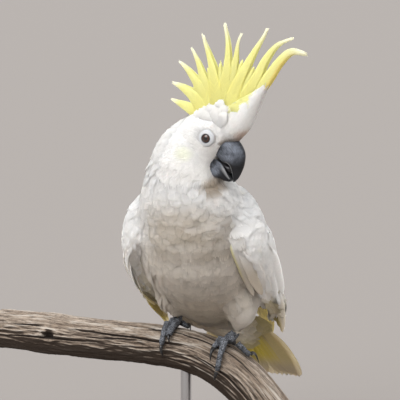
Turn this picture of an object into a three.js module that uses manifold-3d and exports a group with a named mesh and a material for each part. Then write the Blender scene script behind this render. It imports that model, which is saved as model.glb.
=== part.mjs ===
// A life-size model of a sulphur-crested cockatoo with its crest raised, gripping a cut length of
// weathered branch that a plain display stand holds up.
//
// Millimetres, +Z up. The bird's breast faces -Y and its left side is +X; the head is turned to
// its left. The origin is the middle of the underside of the stand's base.

import * as THREE from "three";
import { mergeVertices } from "three/addons/utils/BufferGeometryUtils.js";
import Module from "manifold-3d";

const wasm = await Module();
wasm.setup();

// ---- driving dimensions ----

const GAP = 0.3; // left between solids that touch
const PERCH_TOP = 165; // the branch's upper side, between the bird's feet

const BASE_RADIUS = 115;
const BASE_THICKNESS = 16;
const BASE_EDGE = 3; // bevel round the base
const ROD_RADIUS = 6;
const ROD_PLACE = new THREE.Vector2(-4, 12); // across the base
const ROD_SOCKET = 14; // how far the rod goes into the branch
const ROD_TENON = 8; // how far it goes into the base

const BIRD_PLACE = new THREE.Vector3(22, 12, PERCH_TOP); // from the base's middle to the bird's

const WING_SLOPE = THREE.MathUtils.degToRad(31); // the folded wing's fall from shoulder to tip
const WING_ROOT = new THREE.Vector2(-72, 118); // y and z of the wing's axis at the wrist
const TAIL_LENGTH = 190;
const TAIL_SLOPE = THREE.MathUtils.degToRad(32);

const HEAD_PLACE = new THREE.Vector3(34.5, -76, 228.7); // midway between the eyes
const HEAD_TURN = THREE.MathUtils.degToRad(76); // to the bird's left
const HEAD_NOD = THREE.MathUtils.degToRad(20); // bill down
const EYE_RADIUS = 6.8;
const EYE_SPREAD = 19.2; // each eyeball's middle, out from the middle of the head

// ---- finishes ----

const finish = (color, roughness, metalness = 0) =>
  new THREE.MeshStandardMaterial({ color, roughness, metalness });

const WHITE_PLUMAGE = finish(0xf2efe6, 0.9);
const YELLOW_PLUMAGE = finish(0xf3e25c, 0.9);
const BILL_HORN = finish(0x3b4047, 0.5);
const TONGUE_SKIN = finish(0x2b2a2c, 0.6);
const EYE_GLOSS = finish(0x24150f, 0.08);
const TOE_SKIN = finish(0x6b7078, 0.75);
const CLAW_HORN = finish(0x24262a, 0.45);
const BARE_WOOD = finish(0x9a8a78, 0.9);
const STAND_WOOD = finish(0x6d4c33, 0.55);
const STAND_STEEL = finish(0xb9bcc0, 0.35, 1);

// ---- making solids ----

const ACROSS = new THREE.Vector3(1, 0, 0);
const TO_RIGHT = new THREE.Vector3(-1, 0, 0);
const UPWARD = new THREE.Vector3(0, 0, 1);
const BEYOND = 900; // longer than anything here, for cutting right through
const SIDES = { left: 1, right: -1 };

// A closed manifold solid from a geometry whose faces point out.
function solidOf(geometry) {
  const bare = geometry.clone();
  bare.deleteAttribute("normal");
  bare.deleteAttribute("uv");
  const merged = mergeVertices(bare, 1e-4);
  const vertProperties = new Float32Array(merged.attributes.position.array);
  const triVerts = new Uint32Array(merged.index.array);
  return new wasm.Manifold(new wasm.Mesh({ numProp: 3, vertProperties, triVerts }));
}

function geometryOf(solid) {
  const { vertProperties, triVerts } = solid.getMesh();
  const geometry = new THREE.BufferGeometry();
  geometry.setAttribute("position", new THREE.BufferAttribute(vertProperties, 3));
  geometry.setIndex(new THREE.BufferAttribute(triVerts, 1));
  return geometry;
}

// A skin over a row of rings of equally many points, closed by a fan at each end. The rings turn
// anticlockwise as seen from the far end.
function loft(rings) {
  const sides = rings[0].length;
  const points = rings.flat();
  const faces = [];
  for (let ring = 0; ring + 1 < rings.length; ring++) {
    for (let side = 0; side < sides; side++) {
      const a = ring * sides + side;
      const b = ring * sides + ((side + 1) % sides);
      faces.push(a, b, b + sides, a, b + sides, a + sides);
    }
  }
  const closeEnd = (first, forward) => {
    const middle = new THREE.Vector3();
    for (let side = 0; side < sides; side++) middle.addScaledVector(points[first + side], 1 / sides);
    points.push(middle);
    for (let side = 0; side < sides; side++) {
      const a = first + side;
      const b = first + ((side + 1) % sides);
      faces.push(...(forward ? [a, b, points.length - 1] : [b, a, points.length - 1]));
    }
  };
  closeEnd(0, false);
  closeEnd((rings.length - 1) * sides, true);
  const geometry = new THREE.BufferGeometry().setFromPoints(points);
  geometry.setIndex(faces);
  return geometry;
}

// Rows of numbers, smoothly filled in between the given rows.
function smoothRows(rows, steps) {
  const places = rows.map((_, index) => index);
  const curve = new THREE.CubicInterpolant(places, rows.flat(), rows[0].length, []);
  const last = rows.length - 1;
  return Array.from({ length: steps + 1 }, (_, step) => Array.from(curve.evaluate((step / steps) * last)));
}

// An oval ring round a point; a power over 2 makes it squarer.
function ovalRing(centre, across, up, wide, high, sides, power = 2) {
  const bulge = (value) => Math.sign(value) * Math.abs(value) ** (2 / power);
  return Array.from({ length: sides }, (_, side) => {
    const angle = (side / sides) * 2 * Math.PI;
    return centre
      .clone()
      .addScaledVector(across, wide * bulge(Math.cos(angle)))
      .addScaledVector(up, high * bulge(Math.sin(angle)));
  });
}

// A limb of oval rings, square to its own spine or all facing one way. Each station gives x, y,
// z, half-width and half-height. The half-width lies along `across` as nearly as that allows.
function limb(stations, { across, facing, sides, steps, grow = 0, power = 2 }) {
  const rows = smoothRows(stations, steps);
  const spine = rows.map(([x, y, z]) => new THREE.Vector3(x, y, z));
  const rings = rows.map(([, , , wide, high], index) => {
    const before = spine[Math.max(index - 1, 0)];
    const after = spine[Math.min(index + 1, steps)];
    const along = facing ?? after.clone().sub(before).normalize();
    const sideways = across.clone().addScaledVector(along, -across.dot(along)).normalize();
    const up = new THREE.Vector3().crossVectors(along, sideways);
    const centre = spine[index].clone();
    if (index === 0) centre.addScaledVector(along, -grow);
    if (index === steps) centre.addScaledVector(along, grow);
    return ovalRing(centre, sideways, up, wide + grow, high + grow, sides, power);
  });
  return loft(rings);
}

// A block that holds everything on the side of a plane that its normal points to, GAP / 2 clear.
function halfSpace(point, normal) {
  const block = new THREE.BoxGeometry(BEYOND, BEYOND, BEYOND);
  const turn = new THREE.Quaternion().setFromUnitVectors(UPWARD, normal);
  block.translate(0, 0, BEYOND / 2 + GAP / 2);
  block.applyQuaternion(turn);
  block.translate(point.x, point.y, point.z);
  return solidOf(block);
}

// The same shape on the bird's other side.
function mirrored(geometry) {
  const copy = geometry.clone().scale(-1, 1, 1);
  const order = copy.index.array;
  for (let corner = 0; corner < order.length; corner += 3) {
    [order[corner], order[corner + 1]] = [order[corner + 1], order[corner]];
  }
  return copy;
}

// The largest piece of a cut solid becomes the node; loose slivers of the cut are dropped.
function node(parent, name, solid, material) {
  const [whole] = solid.decompose().sort((a, b) => b.volume() - a.volume());
  const mesh = new THREE.Mesh(geometryOf(whole), material);
  mesh.name = name;
  parent.add(mesh);
  return mesh;
}

const model = new THREE.Group();
const bird = new THREE.Group();
bird.position.copy(BIRD_PLACE);
const head = new THREE.Group();
head.position.copy(HEAD_PLACE);
head.rotation.set(HEAD_NOD, 0, HEAD_TURN, "ZXY");
head.updateMatrix();
bird.add(head);
model.add(bird);

// ---- perch and stand ----

// The branch runs along X under the bird and bends down past its left foot.
// Each station: x, y, z of the heart (from the bird's middle), and the radius.
const BRANCH = [
  [-252, 0, -12, 22],
  [-186, 2, -15, 23.5],
  [-127, 0, -17, 22.5],
  [-68, -1, -19, 23],
  [-21, 0, -24, 23.5],
  [6, 0, -33, 24.5],
  [30, 0, -46, 26],
  [52, 0, -66, 26],
  [76, 0, -94, 26],
];
const BRANCH_SIDES = 14;
const BRANCH_STEPS = 18;
const BRANCH_SAMPLES = 200; // for its radius at any place
const HALVINGS = 30;

const branchSpine = new THREE.CatmullRomCurve3(BRANCH.map(([x, y, z]) => new THREE.Vector3(x, y, z)));

const branchRows = smoothRows(BRANCH, BRANCH_SAMPLES);
const branchRadius = (share) => branchRows[Math.round(share * BRANCH_SAMPLES)][3];

// The share of the way along at which a rising quantity reaches a value.
function bisect(quantity, value) {
  let low = 0;
  let high = 1;
  for (let halving = 0; halving < HALVINGS; halving++) {
    const middle = (low + high) / 2;
    if (quantity(middle) < value) low = middle;
    else high = middle;
  }
  return low;
}

function branchGeometry(grow = 0) {
  const stations = BRANCH.map(([x, y, z, radius]) => [x, y, z, radius, radius]);
  return limb(stations, {
    across: new THREE.Vector3(0, -1, 0),
    sides: BRANCH_SIDES,
    steps: BRANCH_STEPS,
    grow,
  });
}

const branchClearance = solidOf(branchGeometry(GAP));
const rodFoot = BASE_THICKNESS - ROD_TENON;
const rodShare = bisect((share) => branchSpine.getPoint(share).x, ROD_PLACE.x - BIRD_PLACE.x);
const rodTop = PERCH_TOP + branchSpine.getPoint(rodShare).z - branchRadius(rodShare) + ROD_SOCKET;

const ROD_SIDES = 20;
const BASE_SIDES = 32;

// A round bar standing on a height, with its top at another.
function uprightBar(radius, place, bottom, top) {
  const bar = new THREE.CylinderGeometry(radius, radius, top - bottom, ROD_SIDES);
  bar.rotateX(Math.PI / 2);
  bar.translate(place.x, place.y, (top + bottom) / 2);
  return solidOf(bar);
}

function makeStand() {
  const profile = [
    new THREE.Vector2(0, 0),
    new THREE.Vector2(BASE_RADIUS - BASE_EDGE, 0),
    new THREE.Vector2(BASE_RADIUS, BASE_EDGE),
    new THREE.Vector2(BASE_RADIUS, BASE_THICKNESS - BASE_EDGE),
    new THREE.Vector2(BASE_RADIUS - BASE_EDGE, BASE_THICKNESS),
    new THREE.Vector2(0, BASE_THICKNESS),
  ];
  const disc = solidOf(new THREE.LatheGeometry(profile, BASE_SIDES).rotateX(Math.PI / 2));
  const hole = uprightBar(ROD_RADIUS + GAP, ROD_PLACE, rodFoot - GAP, PERCH_TOP);
  node(model, "stand_base", disc.subtract(hole), STAND_WOOD);
  node(model, "stand_rod", uprightBar(ROD_RADIUS, ROD_PLACE, rodFoot, rodTop), STAND_STEEL);
}

function makePerch() {
  const place = new THREE.Vector2(ROD_PLACE.x - BIRD_PLACE.x, ROD_PLACE.y - BIRD_PLACE.y);
  const socket = uprightBar(ROD_RADIUS + GAP, place, -PERCH_TOP, rodTop - PERCH_TOP + GAP);
  node(bird, "perch", solidOf(branchGeometry()).subtract(socket), BARE_WOOD);
}

// ---- trunk, neck and head ----

// From the rump up to inside the head. Each station: x, y, z, half-width, half-depth.
const BODY = [
  [0, 118, -12, 14, 10],
  [0, 100, 0, 26, 19],
  [0, 72, 17, 38, 31],
  [0, 42, 35, 48, 41],
  [0, 12, 53, 56, 46],
  [0, -14, 74, 60, 51],
  [0, -36, 98, 62, 55],
  [0, -50, 126, 64, 54],
  [-1, -58, 150, 62, 49],
  [-4, -64, 172, 52, 44],
  [-5, -66, 190, 41.5, 40],
  [-1, -67, 208, 35, 37],
  [4, -68, 223, 29, 32],
  [8, -69, 236, 20, 23],
  [10, -70, 243, 9, 11],
];

// From nape to cere in the head's own frame. Each station: forward, up, half-width, half-height.
const SKULL = [
  [-45, -15, 9, 12],
  [-40, -13, 19, 21],
  [-30, -10, 26, 28.5],
  [-16, -7, 28.5, 32],
  [-2, -5, 25.5, 34],
  [6, -5, 21, 29],
  [10, -3, 17.5, 24],
  [14, 4, 14, 16.5],
  [18, 8, 11.5, 10.5],
  [23, 9, 9.5, 8],
  [28, 10, 7.5, 5.5],
];

const headPoint = (forward, up, left = 0) => new THREE.Vector3(left, -forward, up);

function skullGeometry(grow = 0) {
  const stations = SKULL.map(([forward, up, wide, high]) => [0, -forward, up, wide, high]);
  return limb(stations, { across: TO_RIGHT, facing: headPoint(1, 0), sides: 16, steps: 10, grow });
}

function bodyGeometry(grow = 0) {
  return limb(BODY, { across: TO_RIGHT, sides: 18, steps: 16, grow, power: 2.1 });
}

function eyeball(side, grow = 0) {
  const ball = new THREE.SphereGeometry(EYE_RADIUS + grow, 12, 6);
  ball.rotateZ(Math.PI / 2);
  ball.translate(side * EYE_SPREAD, 0, 0);
  return ball;
}

const NECK_TOP = new THREE.Vector3(8, -72, 196);
const NECK_TOP_LEAN = new THREE.Vector3(0.3, -0.25, 0.92).normalize();
const NECK_FOOT = new THREE.Vector3(0, -56, 160);
const NECK_FOOT_LEAN = new THREE.Vector3(0, -0.35, 0.94).normalize();

const skullInBody = (grow) => solidOf(skullGeometry(grow).applyMatrix4(head.matrix));
const wholeBody = solidOf(bodyGeometry()).add(skullInBody(0));
const bodyClearance = solidOf(bodyGeometry(GAP)).add(skullInBody(GAP));
const intoHead = new THREE.Matrix4().copy(head.matrix).invert();
const headClearance = solidOf(skullGeometry(GAP)).add(solidOf(bodyGeometry(GAP).applyMatrix4(intoHead)));

function makeBody() {
  const below = (point, lean) => halfSpace(point, lean.clone().negate());
  const trunk = wholeBody.intersect(below(NECK_FOOT, NECK_FOOT_LEAN));
  const neck = wholeBody
    .intersect(halfSpace(NECK_FOOT, NECK_FOOT_LEAN))
    .intersect(below(NECK_TOP, NECK_TOP_LEAN));
  let crown = wholeBody.intersect(halfSpace(NECK_TOP, NECK_TOP_LEAN));
  for (const side of Object.values(SIDES)) {
    crown = crown.subtract(solidOf(eyeball(side, GAP).applyMatrix4(head.matrix)));
  }
  node(bird, "trunk", trunk, WHITE_PLUMAGE);
  node(bird, "neck", neck, WHITE_PLUMAGE);
  const headMesh = node(head, "head", crown, WHITE_PLUMAGE);
  headMesh.geometry.applyMatrix4(intoHead);
}

function makeEyes() {
  for (const [name, side] of Object.entries(SIDES)) {
    node(head, `eye_${name}`, solidOf(eyeball(side)), EYE_GLOSS);
  }
}

// ---- bill and tongue ----

// Each station: forward, up, half-width, half-depth, along the middle of the horn.
const UPPER_BILL = [
  [10, -4, 11, 13],
  [20, -7, 11.5, 14],
  [28.5, -11, 10.5, 12],
  [34, -17, 8.5, 7.6],
  [36.2, -24, 6, 5.2],
  [36.8, -31, 3.4, 3.2],
  [35.8, -37.5, 0.6, 0.6],
];
const LOWER_BILL = [
  [4, -31, 8, 9],
  [16, -31.5, 10.5, 10.5],
  [23, -34, 10, 7.5],
  [29, -36.5, 7, 4],
  [32.5, -37, 5, 2.5],
];
const TONGUE = [
  [12, -26, 4, 3],
  [21, -26.5, 5, 4.2],
  [27, -27, 5, 4.5],
  [30.5, -27.5, 2.5, 2.2],
];
const BILL_SCOOP = [
  [12, -24, 7, 5],
  [22, -26, 7.5, 6],
  [29, -28, 6.5, 6],
  [36, -29, 6, 6],
];

function horn(stations, options) {
  const rows = stations.map(([forward, up, wide, deep]) => [0, -forward, up, wide, deep]);
  return limb(rows, { across: TO_RIGHT, sides: 10, steps: 7, ...options });
}

function makeBill() {
  const tongueClearance = solidOf(horn(TONGUE, { grow: GAP }));
  const upper = solidOf(horn(UPPER_BILL)).subtract(headClearance).subtract(tongueClearance);
  const lower = solidOf(horn(LOWER_BILL))
    .subtract(headClearance)
    .subtract(solidOf(horn(UPPER_BILL, { grow: GAP })))
    .subtract(solidOf(horn(BILL_SCOOP, { sides: 8, steps: 3 })))
    .subtract(tongueClearance);
  const tongue = solidOf(horn(TONGUE)).subtract(headClearance);
  node(head, "bill_upper", upper, BILL_HORN);
  node(head, "bill_lower", lower, BILL_HORN);
  node(head, "tongue", tongue, TONGUE_SKIN);
}

// ---- crest ----

// Front to back. Each: the root's place on the crown (forward, up), the tip (forward, up), how
// far the vane bows back, and its half-width low down.
const CREST = [
  [17, 30, 69, 123, 32, 8],
  [12, 32, 47, 132, 20, 9],
  [7, 33, 16, 129, 12, 9],
  [2, 33, -10, 113, 7, 9],
  [-3, 31.5, -34, 115, 4, 9.5],
  [-8, 30, -56, 94, 2, 9.5],
  [-13, 28, -61, 76, 2, 9],
  [-17, 25, -73, 55, 3, 9],
  [-21, 20.5, -73, 31, 5, 9],
  [-23, 15.5, -68, 14, 6, 8],
];
const CREST_ROOT_DEPTH = 12; // how far each root starts inside the crown
const CREST_STEPS = 5;
const CREST_THICKNESS = 2.4;
const CREST_THINNING = 0.6; // of the thickness, lost by the tip
const CREST_TIP = 0.9; // half-width of the tip
const CREST_GAP = 0.5; // between one vane and the next
const CREST_HOLLOW = 5; // how far each vane's middle stands behind its edges
const CREST_BEND = 0.85; // where along the vane it bends most

// A raised crest feather: a long gutter-shaped vane, narrow at the tip.
function crestFeather([rootForward, rootUp, tipForward, tipUp, bow, wide], grow = 0) {
  const root = headPoint(rootForward, rootUp);
  const tip = headPoint(tipForward, tipUp);
  const chord = tip.clone().sub(root).normalize();
  const backward = new THREE.Vector3().crossVectors(TO_RIGHT, chord);
  const bend = root.clone().lerp(tip, CREST_BEND).addScaledVector(backward, bow);
  const start = root.clone().addScaledVector(chord, -CREST_ROOT_DEPTH);
  const spine = new THREE.QuadraticBezierCurve3(start, bend, tip);
  const rings = [];
  for (let step = 0; step <= CREST_STEPS; step++) {
    const share = step / CREST_STEPS;
    const centre = spine.getPoint(share);
    const back = new THREE.Vector3().crossVectors(spine.getTangent(share), TO_RIGHT);
    const swell = (1 - share ** 2.2) * (0.75 + 0.25 * Math.sin(Math.PI * share));
    const half = wide * swell + CREST_TIP + grow;
    const hollow = (CREST_HOLLOW * half) / wide;
    const thick = CREST_THICKNESS * (1 - CREST_THINNING * share) + 2 * grow;
    const corner = (u, side) =>
      centre
        .clone()
        .addScaledVector(TO_RIGHT, u * half)
        .addScaledVector(back, hollow * (1 - u * u) + (side * thick) / 2);
    const behind = [-1, -0.4, 0.4, 1].map((u) => corner(u, 1));
    const front = [1, 0.4, -0.4, -1].map((u) => corner(u, -1));
    rings.push([...behind, ...front].reverse());
  }
  return loft(rings);
}

// The short white feathers that stand up in front of the crest. Stations as the skull's.
const FORELOCK = [
  [12, 8, 17, 16],
  [17, 26, 17, 19],
  [23, 42, 14, 15],
  [30, 57, 10, 9.5],
  [35.5, 70, 6, 5],
  [38.5, 81, 2.5, 2],
];

function makeCrest() {
  const forelockShape = (grow) => solidOf(horn(FORELOCK, { sides: 12, steps: 6, grow }));
  const forelock = forelockShape(0).subtract(headClearance);
  node(head, "crest_forelock", forelock, WHITE_PLUMAGE);
  let taken = headClearance.add(forelockShape(GAP));
  CREST.forEach((feather, index) => {
    const solid = solidOf(crestFeather(feather)).subtract(taken);
    node(head, `crest_feather_${index + 1}`, solid, YELLOW_PLUMAGE);
    taken = taken.add(solidOf(crestFeather(feather, CREST_GAP)));
  });
}

// ---- wings and tail ----

// Along the folded wing from the wrist. Each station: distance along, then x and height above
// the wing's axis of the upper edge, the bulge and the lower edge, and the thickness below.
const WING_ARM = [
  [-9, 54, 34, 61, 16, 56, -3, 5],
  [0, 50, 60, 74, 24, 63, -14, 18],
  [15, 46, 69, 82, 26, 73, -19, 29],
  [40, 34, 66, 82, 14, 79, -21, 36],
  [75, 24, 53, 79, 3, 75, -32, 36],
  [105, 18, 42, 77, 0, 70, -35, 26],
  [147, 12, 28.5, 72, -2, 67, -29, 16],
  [181, 9, 17, 62, -4, 60, -24, 9],
  [205, 8, 7, 50, -7, 52, -16, 4],
];
const WING_PRIMARIES = [
  [130, 40, 10, 66, -12, 64, -33, 8],
  [181, 14, 8, 60, -9, 60, -28, 6],
  [230, 9, 6, 46, -4, 48, -18, 4],
  [280, 7, 5, 32, 0, 34, -8, 3],
  [318, 6, 4, 18, 2, 21, -1, 1.5],
];
const WING_LIP = 0.4; // how far the lower edge's inner side reaches past the outer one, by thickness
const ARM_MESH = [10, 5]; // rings along, strips across
const PRIMARIES_MESH = [5, 4];

// A folded wing's shell: an outer face that bows round the flank and an inner one under it.
function wingShell(stations, [steps, strips], grow = 0) {
  const along = new THREE.Vector3(0, Math.cos(WING_SLOPE), -Math.sin(WING_SLOPE));
  const up = new THREE.Vector3(0, Math.sin(WING_SLOPE), Math.cos(WING_SLOPE));
  const rows = smoothRows(stations, steps);
  const rings = rows.map(([distance, topX, topUp, bulgeX, bulgeUp, lowX, lowUp, thick], index) => {
    const reach = distance + (index === 0 ? -grow : 0) + (index === steps ? grow : 0);
    const onAxis = new THREE.Vector3(0, WING_ROOT.x, WING_ROOT.y).addScaledVector(along, reach);
    const control = [2 * bulgeX - (topX + lowX) / 2, 2 * bulgeUp - (topUp + lowUp) / 2];
    const arc = new THREE.QuadraticBezierCurve(
      new THREE.Vector2(topX, topUp),
      new THREE.Vector2(...control),
      new THREE.Vector2(lowX, lowUp),
    );
    const outer = [];
    const inner = [];
    for (let strip = 0; strip <= strips; strip++) {
      const share = strip / strips;
      const tangent = arc.getTangent(share);
      const inward = new THREE.Vector2(tangent.y, -tangent.x);
      const depth = thick * (0.3 + 0.7 * Math.sin((Math.PI / 2) * share ** 0.8));
      const place = arc.getPoint(share).addScaledVector(tangent, (2 * share - 1) * grow);
      outer.push(place.clone().addScaledVector(inward, -grow));
      place.addScaledVector(inward, depth + grow);
      inner.unshift(place.addScaledVector(tangent, WING_LIP * depth * share ** 3));
    }
    return [...outer, ...inner].map(({ x, y }) =>
      onAxis.clone().addScaledVector(ACROSS, x).addScaledVector(up, y),
    );
  });
  return loft(rings);
}

// The tail's closed fan: a thin, slightly arched plate. Each station: distance, half-width.
const TAIL = [
  [0, 16],
  [30, 26],
  [80, 36],
  [140, 43],
  [168, 42],
  [182, 32],
  [190, 12],
];
const TAIL_ROOT = new THREE.Vector2(100, 4);
const TAIL_THICKNESS = 5;
const TAIL_THINNING = 0.65; // of the thickness, lost by the end
const TAIL_ARCH = 0.2; // how far the fan's edges droop, by its half-width
const TAIL_STEPS = 8;

function tailFan(grow = 0) {
  const along = new THREE.Vector3(0, Math.cos(TAIL_SLOPE), -Math.sin(TAIL_SLOPE));
  const up = new THREE.Vector3(0, Math.sin(TAIL_SLOPE), Math.cos(TAIL_SLOPE));
  const rings = smoothRows(TAIL, TAIL_STEPS).map(([distance, wide], index) => {
    const reach = distance + (index === TAIL_STEPS ? grow : 0);
    const onAxis = new THREE.Vector3(0, TAIL_ROOT.x, TAIL_ROOT.y).addScaledVector(along, reach);
    const thick = TAIL_THICKNESS * (1 - TAIL_THINNING * (distance / TAIL_LENGTH)) + 2 * grow;
    const place = (u, side) => {
      const drop = TAIL_ARCH * u * u * wide;
      const half = (side * thick * (1 - 0.5 * u * u)) / 2;
      return onAxis.clone().addScaledVector(ACROSS, u * (wide + grow)).addScaledVector(up, half - drop);
    };
    const shares = [-1, -0.5, 0, 0.5, 1];
    return [...shares.map((u) => place(u, -1)), ...shares.reverse().map((u) => place(u, 1))].reverse();
  });
  return loft(rings);
}

const turned = { left: (geometry) => geometry, right: mirrored };

const armClearance = {};
const primariesClearance = {};
for (const name of Object.keys(SIDES)) {
  armClearance[name] = solidOf(turned[name](wingShell(WING_ARM, ARM_MESH, GAP)));
  primariesClearance[name] = solidOf(turned[name](wingShell(WING_PRIMARIES, PRIMARIES_MESH, GAP)));
}

function makeWings() {
  for (const name of Object.keys(SIDES)) {
    const arm = solidOf(turned[name](wingShell(WING_ARM, ARM_MESH))).subtract(bodyClearance);
    const primaries = solidOf(turned[name](wingShell(WING_PRIMARIES, PRIMARIES_MESH)))
      .subtract(armClearance[name])
      .subtract(bodyClearance);
    node(bird, `wing_${name}`, arm, WHITE_PLUMAGE);
    node(bird, `wing_primaries_${name}`, primaries, WHITE_PLUMAGE);
  }
}

function makeTail() {
  let tail = solidOf(tailFan()).subtract(bodyClearance);
  for (const name of Object.keys(SIDES)) {
    tail = tail.subtract(primariesClearance[name]).subtract(armClearance[name]);
  }
  node(bird, "tail", tail, YELLOW_PLUMAGE);
}

// ---- legs and feet ----

// Each foot: where its sole sits along the branch, the feathered leg's stations from the belly
// to the ankle and the bare foot's from the ankle to the sole (x, y, z, half-width, half-depth),
// and the toes. A toe's path over the bark goes by its angle round the branch from the upper
// side towards the breast, in degrees, and its place along the branch from the sole, to the
// right of the root, the last joint and the claw's tip.
const FEET = {
  left: {
    x: 28,
    leg: [
      [44, -16, 50, 17, 20],
      [45, -14, 36, 19, 19],
      [42, -8, 21, 16, 16],
      [35.5, -1, 9, 8.5, 8.5],
      [33.5, 2, 3, 5.5, 6],
    ],
    foot: [
      [34, 3, 5, 5, 5],
      [32, 0, 0, 5.5, 5.5],
      [28, -6, -5, 7, 5.5],
      [26, -10, -8, 6, 5],
    ],
    toes: {
      1: { angles: [-14, -62, -84], places: [-2, -6, -8] },
      2: { angles: [14, 46, 78], places: [-10, -15, -17] },
      3: { angles: [18, 88, 114], places: [-4, -8, -12] },
      4: { angles: [4, 4, -34], places: [7, 22, 27] },
    },
  },
  right: {
    x: -38,
    leg: [
      [-38, -16, 50, 14, 18],
      [-38, -14, 38, 14, 16],
      [-37, -8, 28, 11, 12],
      [-36, 0, 20, 7, 8],
      [-35.6, 3, 16, 5.5, 6],
    ],
    foot: [
      [-35.6, 3, 17, 5, 5],
      [-36, 0, 12, 5.5, 5.5],
      [-38, -5, 8, 7, 5.5],
      [-39, -10, 4, 6, 5],
    ],
    toes: {
      1: { angles: [-16, -4, 16], places: [2, 15, 20] },
      2: { angles: [16, 50, 68], places: [2, -1, 1] },
      3: { angles: [16, 76, 105], places: [-7, -8, -6] },
      4: { angles: [-14, -62, -84], places: [-6, -12, -14] },
    },
  },
};
const TOE_RADIUS = 3.6;
const CLAW_RADIUS = 2.6;
const CLAW_LIFT = 1.4; // a claw's tip over the bark
const CLAW_TIP = 0.4;
const CLAW_START = 0.05; // of the way on from the toe's end, so that the horn stands clear of it
const KNUCKLES = 2.5; // swellings along a toe

function legGeometry(stations, grow = 0) {
  return limb(stations, { across: ACROSS, sides: 9, steps: 6, grow });
}

// A point over the bark with a given x: an angle round the branch and a height above it.
function overBark(x, angle, height) {
  const turn = THREE.MathUtils.degToRad(angle);
  const pointAt = (share) => {
    const { x: runX, z: runZ } = branchSpine.getTangent(share);
    const reach = branchRadius(share) + height;
    const upward = new THREE.Vector3(-runZ, 0, runX).normalize();
    return branchSpine
      .getPoint(share)
      .addScaledVector(upward, reach * Math.cos(turn))
      .add(new THREE.Vector3(0, -reach * Math.sin(turn), 0));
  };
  return pointAt(bisect((share) => pointAt(share).x, x));
}

// Stations along a toe or claw between two ends given as [angle, place]; the spine keeps its
// own radius, and a height, above the bark.
function barkStations(x, from, to, radii, heights, count) {
  return Array.from({ length: count + 1 }, (_, step) => {
    const share = step / count;
    const angle = THREE.MathUtils.lerp(from[0], to[0], share);
    const place = THREE.MathUtils.lerp(from[1], to[1], share);
    const radius = radii(share);
    const point = overBark(x + place, angle, radius + GAP + heights(share));
    return [point.x, point.y, point.z, radius, radius];
  });
}

function toeGeometry(x, toe, grow = 0) {
  const root = [toe.angles[0], toe.places[0]];
  const joint = [toe.angles[1], toe.places[1]];
  const knuckle = (share) => 0.08 * Math.cos(share * KNUCKLES * 2 * Math.PI);
  const radius = (share) => TOE_RADIUS * (1.1 - 0.25 * share + knuckle(share));
  const rise = (share) => 2.5 * (1 - share) ** 2;
  const stations = barkStations(x, root, joint, radius, rise, 6);
  return limb(stations, { across: ACROSS, sides: 8, steps: 6, grow });
}

function clawGeometry(x, toe) {
  const tip = [toe.angles[2], toe.places[2]];
  const past = (index) => THREE.MathUtils.lerp(toe[index][1], toe[index][2], CLAW_START);
  const joint = [past("angles"), past("places")];
  const radius = (share) => CLAW_RADIUS * (1 - share) + CLAW_TIP;
  const rise = (share) => 1.6 + 2.6 * Math.sin(Math.PI * share) + (CLAW_LIFT - 1.6) * share;
  return limb(barkStations(x, joint, tip, radius, rise, 4), { across: ACROSS, sides: 6, steps: 4 });
}

function makeLegs() {
  for (const name of Object.keys(SIDES)) {
    const { x, leg, foot, toes } = FEET[name];
    const legClearance = solidOf(legGeometry(leg, GAP));
    const legSolid = solidOf(legGeometry(leg))
      .subtract(bodyClearance)
      .subtract(branchClearance)
      .subtract(armClearance[name]);
    const footSolid = solidOf(legGeometry(foot))
      .subtract(legClearance)
      .subtract(bodyClearance)
      .subtract(branchClearance);
    node(bird, `leg_${name}`, legSolid, WHITE_PLUMAGE);
    node(bird, `foot_${name}`, footSolid, TOE_SKIN);
    let taken = solidOf(legGeometry(foot, GAP)).add(legClearance).add(branchClearance);
    for (const [number, toe] of Object.entries(toes)) {
      const toeSolid = solidOf(toeGeometry(x, toe)).subtract(taken);
      taken = taken.add(solidOf(toeGeometry(x, toe, GAP)));
      const clawSolid = solidOf(clawGeometry(x, toe)).subtract(taken);
      node(bird, `toe_${number}_${name}`, toeSolid, TOE_SKIN);
      node(bird, `claw_${number}_${name}`, clawSolid, CLAW_HORN);
    }
  }
}

makeStand();
makePerch();
makeBody();
makeEyes();
makeBill();
makeCrest();
makeWings();
makeTail();
makeLegs();

export default model;
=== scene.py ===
import math

import bpy
import numpy as np
from mathutils import Matrix, Vector, noise
from mathutils.bvhtree import BVHTree
from mathutils.kdtree import KDTree


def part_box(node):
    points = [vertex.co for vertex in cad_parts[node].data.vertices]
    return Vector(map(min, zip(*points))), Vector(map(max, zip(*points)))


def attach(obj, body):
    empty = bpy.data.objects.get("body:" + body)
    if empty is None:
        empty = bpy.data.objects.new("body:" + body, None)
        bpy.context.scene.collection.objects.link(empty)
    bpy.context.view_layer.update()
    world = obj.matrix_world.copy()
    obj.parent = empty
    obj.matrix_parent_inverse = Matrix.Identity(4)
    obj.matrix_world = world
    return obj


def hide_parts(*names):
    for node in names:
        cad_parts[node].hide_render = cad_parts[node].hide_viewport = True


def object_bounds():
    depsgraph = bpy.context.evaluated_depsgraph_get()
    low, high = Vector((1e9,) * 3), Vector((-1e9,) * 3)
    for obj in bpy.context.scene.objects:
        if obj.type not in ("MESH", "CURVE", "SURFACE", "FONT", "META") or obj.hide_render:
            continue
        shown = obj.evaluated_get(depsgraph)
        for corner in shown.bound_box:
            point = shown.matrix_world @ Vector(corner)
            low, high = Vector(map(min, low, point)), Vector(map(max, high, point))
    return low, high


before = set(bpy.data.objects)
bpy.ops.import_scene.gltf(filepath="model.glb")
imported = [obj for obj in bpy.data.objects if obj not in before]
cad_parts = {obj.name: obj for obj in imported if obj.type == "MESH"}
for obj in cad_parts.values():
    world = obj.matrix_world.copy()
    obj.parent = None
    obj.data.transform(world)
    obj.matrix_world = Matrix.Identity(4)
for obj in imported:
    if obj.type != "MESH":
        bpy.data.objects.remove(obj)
cad_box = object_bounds()
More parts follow.
